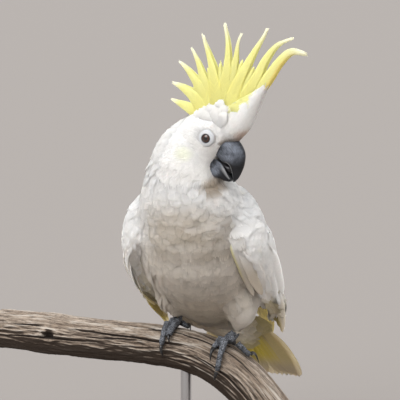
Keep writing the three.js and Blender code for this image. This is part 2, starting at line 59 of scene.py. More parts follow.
bpy.ops.object.select_all(action="DESELECT")
MM = 0.001
bird_place = np.array((22, 12, 165)) * MM  # between the feet, on top of the branch


# ---- Studio ----
# A pale matt floor that runs off on every side, under the even light of an overcast sky, with
# one broad lamp high in front that shapes the plumage and puts the glint in the eye.

FLOOR_RADIUS = 40
FLOOR_COLOR = (0.352, 0.320, 0.295, 1)
SKY_COLOR = (0.86, 0.88, 0.92, 1)
HORIZON_COLOR = (0.40, 0.375, 0.355, 1)
SKY_STRENGTH = 0.95
CAMERA_TURN = math.radians(18)
CAMERA_RISE = math.radians(8)
CAMERA_DISTANCE = 2.6
FIELD_WIDTH = 0.448  # what the picture's width takes in at that distance
AIM_SHIFT = (-8.96 * MM, 146.72 * MM)  # from the bird's place to the picture's middle


def new_material(name, roughness=0.6, **sockets):
    """A material, its node tree and its surface shader, with the constant values set on it."""
    material = bpy.data.materials.new(name)
    material.use_nodes = True
    tree = material.node_tree
    surface = tree.nodes["Principled BSDF"]
    surface.inputs["Roughness"].default_value = roughness
    for socket, value in sockets.items():
        surface.inputs[socket.replace("_", " ")].default_value = value
    return material, tree, surface


def put(tree, kind, values=(), **settings):
    """Adds a node; values maps its inputs to numbers or to the outputs that feed them."""
    node = tree.nodes.new("ShaderNode" + kind)
    for setting, value in settings.items():
        setattr(node, setting, value)
    for socket, value in dict(values).items():
        if isinstance(value, bpy.types.NodeSocket):
            tree.links.new(value, node.inputs[socket])
        else:
            node.inputs[socket].default_value = value
    return node


def eased(tree, value, start, end, low=0.0, high=1.0, **settings):
    """A number that runs from low to high while the value runs from start to end."""
    return put(tree, "MapRange", {"Value": value, "From Min": start, "From Max": end,
                                  "To Min": low, "To Max": high}, **settings).outputs["Result"]


def laid_over(tree, share, first, second, **settings):
    """The second colour over the first by a share."""
    return put(tree, "Mix", {0: share, 6: first, 7: second}, data_type="RGBA",
               **settings).outputs[2]


def drawn_out(tree, place, scale):
    """Places squeezed or stretched along each axis."""
    return put(tree, "Mapping", {"Vector": place, "Scale": scale}).outputs["Vector"]


def speckle(tree, place, scale, detail, **values):
    """Soft random light and dark, finer as the scale grows."""
    return put(tree, "TexNoise", {"Vector": place, "Scale": scale, "Detail": detail,
                                  **values}).outputs["Fac"]


def product(tree, first, second):
    return put(tree, "Math", {0: first, 1: second}, operation="MULTIPLY").outputs[0]


def dimmed(tree, color, amount):
    """A colour made darker or lighter."""
    return put(tree, "VectorMath", {0: color, "Scale": amount}, operation="SCALE").outputs[0]


def tone_ramp(tree, value, stops):
    """Colours that pass evenly into each other, each given with the value where it is pure."""
    ramp = put(tree, "ValToRGB", {"Fac": value})
    elements = ramp.color_ramp.elements
    for element, (at, color) in zip(elements, (stops[0], stops[-1])):
        element.position = at
        element.color = (*color, 1)
    for at, color in stops[1:-1]:
        elements.new(at).color = (*color, 1)
    return ramp.outputs["Color"]


def add_relief(tree, surface, height, strength, distance):
    """Small bumps and hollows in the surface, as high as the distance in metres."""
    bump = put(tree, "Bump", {"Height": height, "Strength": strength, "Distance": distance})
    tree.links.new(bump.outputs["Normal"], surface.inputs["Normal"])


floor_paint, _, _ = new_material("floor_paint", roughness=0.95, Base_Color=FLOOR_COLOR)
bpy.ops.mesh.primitive_circle_add(vertices=96, radius=FLOOR_RADIUS, fill_type="NGON")
floor = bpy.context.object
floor.name = "studio_floor"
floor.data.materials.append(floor_paint)

world = bpy.data.worlds.new("overcast_sky")
world.use_nodes = True
sky = world.node_tree.nodes["Background"]
sky.inputs["Strength"].default_value = SKY_STRENGTH
tree = world.node_tree
height = put(tree, "SeparateXYZ", {"Vector": put(tree, "TexCoord").outputs["Generated"]})
brighten = eased(tree, height.outputs["Z"], 0, 0.8, interpolation_type="SMOOTHSTEP")
tree.links.new(laid_over(tree, brighten, HORIZON_COLOR, SKY_COLOR), sky.inputs["Color"])
bpy.context.scene.world = world
bpy.context.scene.view_settings.view_transform = "Standard"

bird_middle = Vector(bird_place) + Vector((0, -0.03, 0.15))
for lamp_name, place, spread, strength in (
    ("high_lamp", (-0.6, -1.9, 2.0), 45, 1.64),
    ("sky_lamp", (0.5, 0.6, 2.9), 90, 0.8),
):
    bpy.ops.object.light_add(type="SUN", location=place)
    lamp = bpy.context.object
    lamp.name = lamp_name
    lamp.data.angle = math.radians(spread)
    lamp.data.energy = strength
    lamp.rotation_euler = (bird_middle - lamp.location).to_track_quat("-Z", "Y").to_euler()

back = Vector((
    math.sin(CAMERA_TURN) * math.cos(CAMERA_RISE),
    -math.cos(CAMERA_TURN) * math.cos(CAMERA_RISE),
    math.sin(CAMERA_RISE),
))
rightward = Vector((math.cos(CAMERA_TURN), math.sin(CAMERA_TURN), 0))
aim = Vector(bird_place) + AIM_SHIFT[0] * rightward + AIM_SHIFT[1] * back.cross(rightward)
bpy.ops.object.camera_add(location=aim + CAMERA_DISTANCE * back)
camera = bpy.context.object
camera.rotation_euler = (-back).to_track_quat("-Z", "Y").to_euler()
camera.data.sensor_width = 36
camera.data.lens = camera.data.sensor_width * CAMERA_DISTANCE / FIELD_WIDTH
bpy.context.scene.camera = camera


# ---- Display stand ----
# A turned and lacquered hardwood disc with a shallow dish and rounded edges. A brushed steel rod
# stands in it, in a small steel collar, and goes up into the underside of the branch.

BASE_ROUNDING = 2.6 * MM
BASE_DISH = 0.8 * MM
COLLAR_RADIUS = 11 * MM
COLLAR_HEIGHT = 5 * MM
ROD_ROUNDING = 0.8 * MM
COLLAR_ROUNDING = 1.2 * MM
DISH_INSETS = (6 * MM, 1.2 * MM)  # from the rim to the dish, and down its slope
STAND_TONES = ((0.32, (0.045, 0.022, 0.012)), (0.7, (0.16, 0.085, 0.045)))
STEEL_COLOR = (0.62, 0.62, 0.63, 1)

stand_wood, tree, surface = new_material(
    "stand_wood", roughness=0.38, Coat_Weight=0.35, Coat_Roughness=0.22
)
place = put(tree, "TexCoord").outputs["Object"]
figure = speckle(tree, drawn_out(tree, place, (5, 70, 70)), 1.6, 6, Distortion=0.8)
pores = speckle(tree, drawn_out(tree, place, (60, 1400, 1400)), 1, 2)
tree.links.new(tone_ramp(tree, figure, STAND_TONES), surface.inputs["Base Color"])
add_relief(tree, surface, pores, 0.25, 0.0004)

stand_steel, tree, surface = new_material("stand_steel", roughness=0.3, Metallic=1.0,
                                          Base_Color=STEEL_COLOR)
place = put(tree, "TexCoord").outputs["Object"]
brushing = speckle(tree, drawn_out(tree, place, (90, 90, 2600)), 1, 2)
tree.links.new(eased(tree, brushing, 0, 1, 0.22, 0.42), surface.inputs["Roughness"])


def keep(piece, slot, *replaced):
    """Fixes a finished piece to the model and hides the solids that it stands for."""
    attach(piece, "root")
    if replaced:
        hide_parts(*replaced)


def add_turned(name, radius, bottom, top, x, y, rounding, dish, material, slot, *replaced):
    """A round turned piece on an upright axis, with a rounded rim and a dished top."""
    bpy.ops.object.select_all(action="DESELECT")
    bpy.ops.mesh.primitive_cylinder_add(
        vertices=128, radius=radius, depth=top - bottom, location=(x, y, (top + bottom) / 2)
    )
    piece = bpy.context.object
    piece.name = name
    bpy.ops.object.transform_apply(location=True, rotation=True, scale=True)
    bevel = piece.modifiers.new("rim", "BEVEL")
    bevel.width = rounding
    bevel.segments = 4
    bevel.angle_limit = math.radians(50)
    bpy.ops.object.modifier_apply(modifier="rim")
    if dish:
        bpy.ops.object.mode_set(mode="EDIT")
        bpy.ops.mesh.select_mode(type="FACE")
        bpy.ops.mesh.select_all(action="DESELECT")
        bpy.ops.object.mode_set(mode="OBJECT")
        uppermost = max(piece.data.polygons, key=lambda face: face.center.z + face.normal.z)
        uppermost.select = True
        bpy.ops.object.mode_set(mode="EDIT")
        for inset in DISH_INSETS:
            bpy.ops.mesh.inset(thickness=inset)
        bpy.ops.transform.translate(value=(0, 0, -dish))
        bpy.ops.object.mode_set(mode="OBJECT")
    bpy.ops.object.shade_smooth_by_angle(angle=math.radians(40))
    piece.data.materials.append(material)
    keep(piece, slot, *replaced)


low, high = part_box("stand_base")
add_turned("stand_base_turned", (high.x - low.x) / 2, low.z, high.z, 0, 0, BASE_ROUNDING, BASE_DISH,
           stand_wood, "stand_wood", "stand_base")
rod_low, rod_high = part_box("stand_rod")
rod_middle = (rod_low + rod_high) / 2
add_turned("stand_rod_bar", (rod_high.x - rod_low.x) / 2, rod_low.z, rod_high.z, rod_middle.x,
           rod_middle.y, ROD_ROUNDING, 0, stand_steel, "stand_steel", "stand_rod")
add_turned("stand_collar", COLLAR_RADIUS, high.z - BASE_DISH, high.z + COLLAR_HEIGHT, rod_middle.x,
           rod_middle.y, COLLAR_ROUNDING, 0, stand_steel, "stand_steel")


# ---- Branch ----
# A cut length of dead branch, long without its bark: grey and silvery on top and darkened below by
# painted shade, with lengthwise fibres and furrows, a few drying cracks and one knot hole. Both
# ends are sawn.

# The heart's x, y, z from between the bird's feet, and the radius, in millimetres.
BRANCH = (
    (-252, 0, -12, 22), (-186, 2, -15, 23.5), (-127, 0, -17, 22.5), (-68, -1, -19, 23),
    (-21, 0, -24, 23.5), (6, 0, -33, 24.5), (30, 0, -46, 26), (52, 0, -66, 26), (76, 0, -94, 26),
)
BRANCH_AROUND = 190
BRANCH_ALONG = 400
END_RINGS = 14
# Each crack: x at its two ends, its angle there from the top towards the breast, and its depth.
CRACKS = (
    (-172, -18, 57, 68, 3.4), (-48, 4, 112, 118, 3.0), (-245, -120, 96, 88, 2.6),
    (-90, 60, 24, 40, 1.8), (-10, 72, 84, 96, 2.4), (-230, -60, -35, -20, 2.8),
    (-150, 20, -95, -80, 3.0), (-30, 70, -50, -62, 2.2), (-210, -30, 150, 165, 2.4),
    (-140, -70, 76, 70, 1.6), (-236, -190, 62, 56, 1.8), (-20, 40, 10, 6, 1.0),
)
CRACK_HALF_WIDTH = 0.85
KNOT = (-184, 84, 6.5, 4.6)  # x, angle, half-length and half-height of the hole
# How high each kind of unevenness stands: slow swells, furrows, fibres and long ridges.
SWELL_HEIGHT = 0.9
FURROW_HEIGHT = 1.15
FIBRE_HEIGHT = 0.65
RIDGE_HEIGHT = 0.6
GRAIN_RADIUS = 24  # of the straight copy of the branch that its grain is worked out on
WOOD_TONES = ((0.28, (0.085, 0.058, 0.041)), (0.5, (0.42, 0.345, 0.275)), (0.70, (0.80, 0.72, 0.63)))
BLOTCH_TONES = ((0.3, (0.62, 0.54, 0.47)), (0.7, (1.12, 1.1, 1.08)))
RIDGE_SILVER = (0.74, 0.68, 0.60, 1)
# Painted shade on the branch's underside.
UNDERSIDE_SHADE = (0.032, 0.019, 0.011, 1)
FURROW_BROWN = (0.06, 0.04, 0.028, 1)
CRACK_BROWN = (0.022, 0.014, 0.01, 1)
RING_DARK = (0.36, 0.25, 0.16, 1)
RING_PALE = (0.55, 0.42, 0.29, 1)


def smooth_rows(rows, steps):
    """Rows of numbers, with a smooth curve through them filled in evenly."""
    rows = np.array(rows, float)
    padded = np.vstack((2 * rows[0] - rows[1], rows, 2 * rows[-1] - rows[-2]))
    where = np.linspace(0, len(rows) - 1, steps + 1)
    span = np.minimum(where.astype(int), len(rows) - 2)
    share = (where - span)[:, None]
    a, b, c, d = (padded[span + offset] for offset in range(4))
    return 0.5 * (2 * b + (c - a) * share + (2 * a - 5 * b + 4 * c - d) * share**2
                  + (3 * b - a - 3 * c + d) * share**3)


def unit(vectors):
    return vectors / np.maximum(np.linalg.norm(vectors, axis=-1, keepdims=True), 1e-12)


def lumps(points, scale, seed, octaves=3):
    """Soft random heights from about -1 to 1 at places, with lumps of the given size."""
    shift = Vector((seed * 17.3, seed * 5.1, seed * 9.7))
    scaled = np.asarray(points, float) / np.array(scale, float)
    return np.array([
        noise.fractal(Vector(point) + shift, 0.9, 2.1, octaves) for point in scaled.reshape(-1, 3)
    ]).reshape(scaled.shape[:-1])


def mesh_piece(name, points, faces, material, slot, replaced=()):
    """A new object at the origin from points and faces, smooth, riding on the bird."""
    mesh = bpy.data.meshes.new(name)
    mesh.from_pydata([tuple(point) for point in points], [], [tuple(face) for face in faces])
    mesh.update()
    mesh.polygons.foreach_set("use_smooth", [True] * len(mesh.polygons))
    mesh.materials.append(material)
    piece = bpy.data.objects.new(name, mesh)
    bpy.context.scene.collection.objects.link(piece)
    keep(piece, slot, *replaced)
    return piece


def tube_faces(rings, sides):
    """Faces over rings of points whose angle turns anticlockwise as seen from the last one."""
    ring, side = np.meshgrid(np.arange(rings - 1), np.arange(sides), indexing="ij")
    a = ring * sides + side
    b = ring * sides + (side + 1) % sides
    return np.stack((a, b, b + sides, a + sides), axis=-1).reshape(-1, 4)


def note(piece, name, values):
    """Keeps a number for each point of a piece, for its material."""
    attribute = piece.data.attributes.new(name, "FLOAT", "POINT")
    attribute.data.foreach_set("value", np.asarray(values, np.float32).ravel())


def note_places(piece, name, places):
    """Keeps three numbers for each point of a piece: where it is along and across its grain."""
    attribute = piece.data.attributes.new(name, "FLOAT_VECTOR", "POINT")
    attribute.data.foreach_set("vector", np.asarray(places, np.float32).ravel())


rows = smooth_rows(BRANCH, BRANCH_ALONG) * MM
spine = rows[:, :3] + bird_place
run = unit(np.gradient(spine, axis=0))
breastward = np.array((0, -1, 0))
branch_up = unit(np.cross(breastward, run))
angle = np.linspace(0, 2 * math.pi, BRANCH_AROUND, endpoint=False)
angle_of_ring = np.broadcast_to(angle, (BRANCH_ALONG + 1, BRANCH_AROUND))
x_of_ring = np.broadcast_to((rows[:, 0] / MM)[:, None], angle_of_ring.shape)
on_wood = np.stack((
    np.cos(angle_of_ring) * GRAIN_RADIUS, np.sin(angle_of_ring) * GRAIN_RADIUS, x_of_ring
), axis=-1)
twisted = on_wood + 5 * np.stack((
    lumps(on_wood, (60, 60, 120), 1), lumps(on_wood, (60, 60, 120), 2), np.zeros_like(x_of_ring)
), axis=-1)
broad = lumps(on_wood, (26, 26, 60), 3)
furrow = lumps(twisted, (3.6, 3.6, 42), 4, 4)
fibre = lumps(twisted, (1.7, 1.7, 20), 5, 3)
ridged = 1 - 2 * np.abs(lumps(twisted, (7, 7, 130), 6, 2))
depth = (SWELL_HEIGHT * broad + FURROW_HEIGHT * furrow + FIBRE_HEIGHT * fibre
         + RIDGE_HEIGHT * np.minimum(ridged, 0.4))
crack_fill = np.zeros_like(depth)
per_degree = math.radians(GRAIN_RADIUS)  # millimetres round the branch
for start, end, angle_from, angle_to, deep in CRACKS:
    share = np.clip((x_of_ring - start) / (end - start), 0, 1)
    crack_place = np.stack((x_of_ring, np.full_like(depth, start), np.zeros_like(depth)), axis=-1)
    wander = 3 * lumps(crack_place, (28, 28, 28), 7)
    middle = angle_from + (angle_to - angle_from) * share + wander
    off = np.abs((np.degrees(angle_of_ring) - middle + 180) % 360 - 180) * per_degree
    inside = (x_of_ring > start) & (x_of_ring < end)
    width = CRACK_HALF_WIDTH * (0.35 + np.sin(math.pi * share) ** 0.6)
    cut = np.clip(1 - (off / width) ** 2, 0, 1) * inside * np.sin(math.pi * share) ** 0.4
    depth -= deep * cut
    crack_fill = np.maximum(crack_fill, cut)
knot_x, knot_angle, knot_long, knot_high = KNOT
knot_off = np.hypot(
    (x_of_ring - knot_x) / knot_long,
    ((np.degrees(angle_of_ring) - knot_angle + 180) % 360 - 180) * per_degree / knot_high,
)
depth += 1.6 * np.exp(-((knot_off - 1.5) ** 2) / 0.18) - 6 * np.clip(1 - knot_off**2, 0, 1) ** 0.6
crack_fill = np.maximum(crack_fill, np.clip(1.15 - knot_off, 0, 1))
radius = rows[:, 3][:, None] + (depth - 0.5) * MM
outward = (np.cos(angle_of_ring)[..., None] * branch_up[:, None]
           + np.sin(angle_of_ring)[..., None] * breastward)
shell = spine[:, None] + radius[..., None] * outward
points = [shell.reshape(-1, 3)]
faces = [tube_faces(BRANCH_ALONG + 1, BRANCH_AROUND)]
fibre_height = [(FURROW_HEIGHT * furrow + FIBRE_HEIGHT * fibre).ravel()]
fill = [crack_fill.ravel()]
grain_run = [on_wood.reshape(-1, 3)]
sawn = [np.zeros(depth.size)]
plain = np.zeros(END_RINGS * BRANCH_AROUND)
for end, turn in ((0, 1), (BRANCH_ALONG, -1)):
    first = sum(len(part) for part in points)
    shares = np.linspace(1, 0.004, END_RINGS)
    rim = shell[end]
    middle = rim.mean(0)
    rough = 0.35 * MM * lumps(on_wood[end], (3, 3, 3), 8 + end)
    rings = middle + (rim - middle) * shares[:, None, None]
    rings = rings - turn * run[end] * (rough * np.linspace(0, 1, END_RINGS)[:, None])[..., None]
    points.append(rings.reshape(-1, 3))
    ring_faces = tube_faces(END_RINGS, BRANCH_AROUND) + first
    faces.append(ring_faces[:, ::-1] if turn > 0 else ring_faces)
    fibre_height.append(plain)
    fill.append(plain)
    grain_run.append((on_wood[end] * (1, 1, 0) * shares[:, None, None] + (0, 0, 900)).reshape(-1, 3))
    sawn.append(plain + 1)

bare_wood, tree, surface = new_material("bare_wood", roughness=0.86)
run_along = put(tree, "Attribute", attribute_name="grain_run").outputs["Vector"]
fibres = put(tree, "Attribute", attribute_name="fibres").outputs["Fac"]
cracked = put(tree, "Attribute", attribute_name="crack").outputs["Fac"]
is_sawn = put(tree, "Attribute", attribute_name="sawn").outputs["Fac"]
streaks = speckle(tree, drawn_out(tree, run_along, (1.7, 1.7, 0.04)), 0.8, 7, Roughness=0.68)
blotches = speckle(tree, drawn_out(tree, run_along, (0.09, 0.09, 0.022)), 1, 3)
flakes = speckle(tree, drawn_out(tree, run_along, (0.62, 0.62, 0.16)), 1, 6, Roughness=0.7)
color = laid_over(tree, 0.85, tone_ramp(tree, streaks, WOOD_TONES),
                  tone_ramp(tree, blotches, BLOTCH_TONES), blend_type="MULTIPLY")
color = dimmed(tree, color, eased(tree, flakes, 0.40, 0.52, 0.55, 1.12))
up_look = put(tree, "SeparateXYZ", {"Vector": put(tree, "NewGeometry").outputs["Normal"]})
for share, worn in (
    (eased(tree, fibres, 0.15, 1.0, 0.0, 0.75), RIDGE_SILVER),
    # Painted shade: darker brown the more the surface faces down.
    (eased(tree, up_look.outputs["Z"], 0.34, -0.06, 0.0, 0.96), UNDERSIDE_SHADE),
    (eased(tree, fibres, 0.0, -1.0, 0.0, 0.85), FURROW_BROWN),
    (eased(tree, cracked, 0.1, 0.6), CRACK_BROWN),
):
    color = laid_over(tree, share, color, worn)
ring_distance = put(tree, "VectorMath", {0: run_along, 1: (1, 1, 0)}, operation="MULTIPLY")
ring_length = put(tree, "VectorMath", {0: ring_distance.outputs[0]}, operation="LENGTH")
ring_sine = put(tree, "Math", {0: product(tree, ring_length.outputs["Value"], 3.6)},
                operation="SINE")
end_grain = laid_over(tree, eased(tree, ring_sine.outputs[0], -1, 1), RING_DARK, RING_PALE)
tree.links.new(laid_over(tree, is_sawn, color, end_grain), surface.inputs["Base Color"])
fine_streaks = speckle(tree, drawn_out(tree, run_along, (3.4, 3.4, 0.12)), 1, 4)
add_relief(tree, surface, fine_streaks, 0.7, 0.0009)

branch = mesh_piece("branch_wood", np.concatenate(points), np.concatenate(faces), bare_wood,
                    "bare_wood", ["perch"])
note(branch, "fibres", np.concatenate(fibre_height))
note(branch, "crack", np.concatenate(fill))
note(branch, "sawn", np.concatenate(sawn))
note_places(branch, "grain_run", np.concatenate(grain_run))


# ---- Skin ----
# One skin over the whole bird under its plumage, from the bill to the rump and out along both
# folded wings and down to the ankles. It lies under the plumage's outline by the coat's depth.

FLESH = ("trunk", "neck", "head", "crest_forelock", "wing_left", "wing_right", "leg_left",
         "leg_right")
CLOSE_UP = 0.45 * MM  # each part is grown by this, so that the thin cuts between them close
SKIN_CELL = 2.1 * MM
COAT_DEPTH = {
    "trunk": 3.4, "neck": 3.0, "head": 1.3, "crest_forelock": 2.0, "wing_left": 1.6,
    "wing_right": 1.6, "leg_left": 2.0, "leg_right": 2.0,
}

HEAD_PLACE = bird_place + np.array((34.5, -76, 228.7)) * MM  # midway between the eyes
HEAD_TURN = math.radians(76)
HEAD_NOD = math.radians(20)
head_axes = Matrix.Rotation(HEAD_TURN, 3, "Z") @ Matrix.Rotation(HEAD_NOD, 3, "X")
leftward = np.array(head_axes @ Vector((1, 0, 0)))
forward = np.array(head_axes @ Vector((0, -1, 0)))
upward = np.array(head_axes @ Vector((0, 0, 1)))
head_frame = np.stack((forward, upward, leftward))


def head_point(forth, up, left=0.0):
    """A place in the head's own frame, in millimetres from between the eyes."""
    return HEAD_PLACE + (np.stack(np.broadcast_arrays(forth, up, left), -1) * MM) @ head_frame


def in_head(points):
    """The way back: forward, up and left in millimetres."""
    return (points - HEAD_PLACE) @ head_frame.T / MM


def select_only(*pieces):
    """Selects these pieces and no others, and makes the first one active."""
    bpy.ops.object.select_all(action="DESELECT")
    for piece in pieces:
        piece.select_set(True)
    bpy.context.view_layer.objects.active = pieces[0]


def face_outward(piece):
    """Turns all faces of a closed piece outwards."""
    select_only(piece)
    bpy.ops.object.mode_set(mode="EDIT")
    bpy.ops.mesh.select_all(action="SELECT")
    bpy.ops.mesh.normals_make_consistent(inside=False)
    bpy.ops.object.mode_set(mode="OBJECT")


def bare_copy(node, name):
    """A merged copy of a solid's mesh as a new object, without what the solid is tagged with."""
    copy = bpy.data.objects.new(name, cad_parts[node].data.copy())
    copy.data.materials.clear()
    bpy.context.scene.collection.objects.link(copy)
    select_only(copy)
    bpy.ops.object.mode_set(mode="EDIT")
    bpy.ops.mesh.select_all(action="SELECT")
    bpy.ops.mesh.remove_doubles(threshold=0.01 * MM)
    bpy.ops.object.mode_set(mode="OBJECT")
    face_outward(copy)
    return copy


def grow(piece, amount):
    """Moves the whole surface of a piece outwards."""
    select_only(piece)
    swell = piece.modifiers.new("swell", "DISPLACE")
    swell.strength = amount
    swell.mid_level = 0
    bpy.ops.object.modifier_apply(modifier="swell")


def make_smooth(piece):
    piece.data.polygons.foreach_set("use_smooth", [True] * len(piece.data.polygons))


def fuse(nodes, name, cell, smoothing):
    """Copies of solids, grown until they meet and made into one even skin."""
    copies = [bare_copy(node, f"{name}_{node}") for node in nodes]
    for copy in copies:
        grow(copy, CLOSE_UP)
    select_only(*copies)
    bpy.ops.object.join()
    whole = bpy.context.object
    whole.name = name
    remesh = whole.modifiers.new("even", "REMESH")
    remesh.mode = "VOXEL"
    remesh.voxel_size = cell
    bpy.ops.object.modifier_apply(modifier="even")
    smooth = whole.modifiers.new("soften", "SMOOTH")
    smooth.factor = 0.5
    smooth.iterations = smoothing
    bpy.ops.object.modifier_apply(modifier="soften")
    make_smooth(whole)
    return whole


def read_out(items, name, columns, kind=np.float32):
    """One property of all the items of a mesh, as rows of that many numbers."""
    values = np.empty(len(items) * columns, kind)
    items.foreach_get(name, values)
    return values.reshape(-1, columns)


def points_of(mesh):
    return read_out(mesh.vertices, "co", 3).astype(float)


def normals_of(mesh):
    return read_out(mesh.vertex_normals, "vector", 3).astype(float)


def spread_out(values, pairs, times):
    """Evens numbers out over a mesh by taking the mean with each point's neighbours."""
    values = np.array(values, float)
    count = np.bincount(pairs.ravel(), minlength=len(values)).astype(float)
    count = np.maximum(count, 1).reshape((-1,) + (1,) * (values.ndim - 1))
    for _ in range(times):
        total = np.zeros_like(values)
        np.add.at(total, pairs[:, 0], values[pairs[:, 1]])
        np.add.at(total, pairs[:, 1], values[pairs[:, 0]])
        values = 0.5 * values + 0.5 * total / count
    return values


skin = fuse(FLESH, "skin", SKIN_CELL, 8)
skin_points = points_of(skin.data)
pairs = read_out(skin.data.edges, "vertices", 2, np.int32)
trees = {
    node: BVHTree.FromPolygons(
        [v.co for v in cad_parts[node].data.vertices],
        [tuple(face.vertices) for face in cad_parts[node].data.polygons],
    )
    for node in FLESH
}
distance = np.array([
    [trees[node].find_nearest(Vector(point))[3] for node in FLESH] for point in skin_points
])
part_of_skin = distance.argmin(1)
coat_depth = spread_out(np.array([COAT_DEPTH[node] for node in FLESH])[part_of_skin], pairs, 12)
skin_points = skin_points - normals_of(skin.data) * ((coat_depth + CLOSE_UP / MM) * MM)[:, None]
skin_points = spread_out(skin_points, pairs, 3)
skin.data.vertices.foreach_set("co", skin_points.astype(np.float32).ravel())
skin.data.update()
select_only(skin)
bpy.ops.object.mode_set(mode="EDIT")
bpy.ops.mesh.select_all(action="SELECT")
bpy.ops.uv.smart_project(angle_limit=math.radians(72), island_margin=0.004)
bpy.ops.object.mode_set(mode="OBJECT")
skin.data.uv_layers.active.name = "OFBake"

# The line through the middle of the body from the nape to the tail: x, y, z in millimetres.
BODY_LINE = (
    (10, -70, 243), (-1, -67, 208), (-5, -66, 190), (-1, -58, 150), (0, -36, 98), (0, 12, 53),
    (0, 72, 17), (0, 118, -12),
)
WHITE = (0.90, 0.892, 0.87)
# The warm darker tints of the body's front, breast and belly: partly soiling, partly painted shade.
BODY_SOIL_AND_SHADE = (0.69, 0.635, 0.56)
BREAST_SOIL_AND_SHADE = (0.47, 0.41, 0.33)
BELLY_SOIL_AND_SHADE = (0.44, 0.38, 0.295)
LEMON = (0.74, 0.80, 0.24)
UNDERWING = (0.50, 0.42, 0.22)
FOREHEAD_STAIN = (0.62, 0.44, 0.33)
# A tan stain under the chin and on the throat, with painted shade below the cheek over it.
CHIN_STAIN_AND_SHADE = (0.40, 0.315, 0.225)
CREST_YELLOW = (0.86, 0.84, 0.33)
THROAT = (33, -88, 173)
THROAT_SIZES = (17, 21, 14)
# Oval patches on the head: the middle and the half-sizes, forward, up and out to each side.
CHEEK_PATCH = ((-17, -25, 27), (13, 11, 30))
FOREHEAD_PATCH = ((31, 12, 0), (13, 14, 18))
CHIN_PATCH = ((15, -58, 2), (17, 23, 24))
# A painted shadow along the bill's root.
BILL_ROOT_SHADOW = (0.16, 0.125, 0.10)
BILL_LINE = ((13, -1.5), (17.5, 2.9), (23, 6.4), (32, 10.3), (38, 10.8))  # along the bill's root
# Painted shade in the fold between the breast and the left wing.
CREASE_SHADE = (0.36, 0.31, 0.25)
# Where each shade lies, in millimetres from the bird's place. Each pair says where the shade sets in
# and is full, or where it starts to go and is gone.
BODY_FRONT = (-25, 22)  # back from the body's middle line
BODY_TINT_TOP = (126, 172)
WHITE_SIDES = ((22, 62), (92, 118))  # out to each side, and up
BREAST_SPAN = ((84, 102), (130, 168), (26, 54))  # its low edge, its top and its sides
BREAST_MIDDLE = 8
BELLY_TOP = (12, 92)
FLANK_SPAN = (24, 54)
PALE_LEG = ((27, 34), (44, 58), (0, 16))  # its inner side, its top and its back
CREASE_SPAN = (3, 13)  # off the crease's line
THROAT_SPAN = (0.40, 1)  # off the throat's middle, by its sizes
BILL_SPAN = (0.8, 3.4)  # off the line of the bill's root
# The deep fold between the breast and the left wing, from its top down.
CREASE = ((44, -81, 131), (52, -78, 111), (54, -62, 91), (55, -45, 74), (56, -29, 58), (58, -21, 48))
FORELOCK_EDGE = ((12, 18, 25, 32), (36, 42.5, 51.5, 68))  # forward and up, where its white ends


def is_part(part, *names):
    """Which places of a list lie on the named parts."""
    return np.isin(part, [FLESH.index(name) for name in names])


def fade(values, start, end):
    """0 before the start and 1 past the end, smoothly between them."""
    share = np.clip((values - start) / (end - start), 0, 1)
    return share * share * (3 - 2 * share)


def patch(points, centre, sizes):
    """1 in the middle of an oval patch on both sides of the head, to 0 at its edge."""
    off = in_head(points)
    off[:, 2] = np.abs(off[:, 2])
    return 1 - fade(np.linalg.norm((off - centre) / sizes, axis=1), 0.3, 1)


crease = smooth_rows(CREASE, 24)
bill_line = smooth_rows(BILL_LINE, 20)


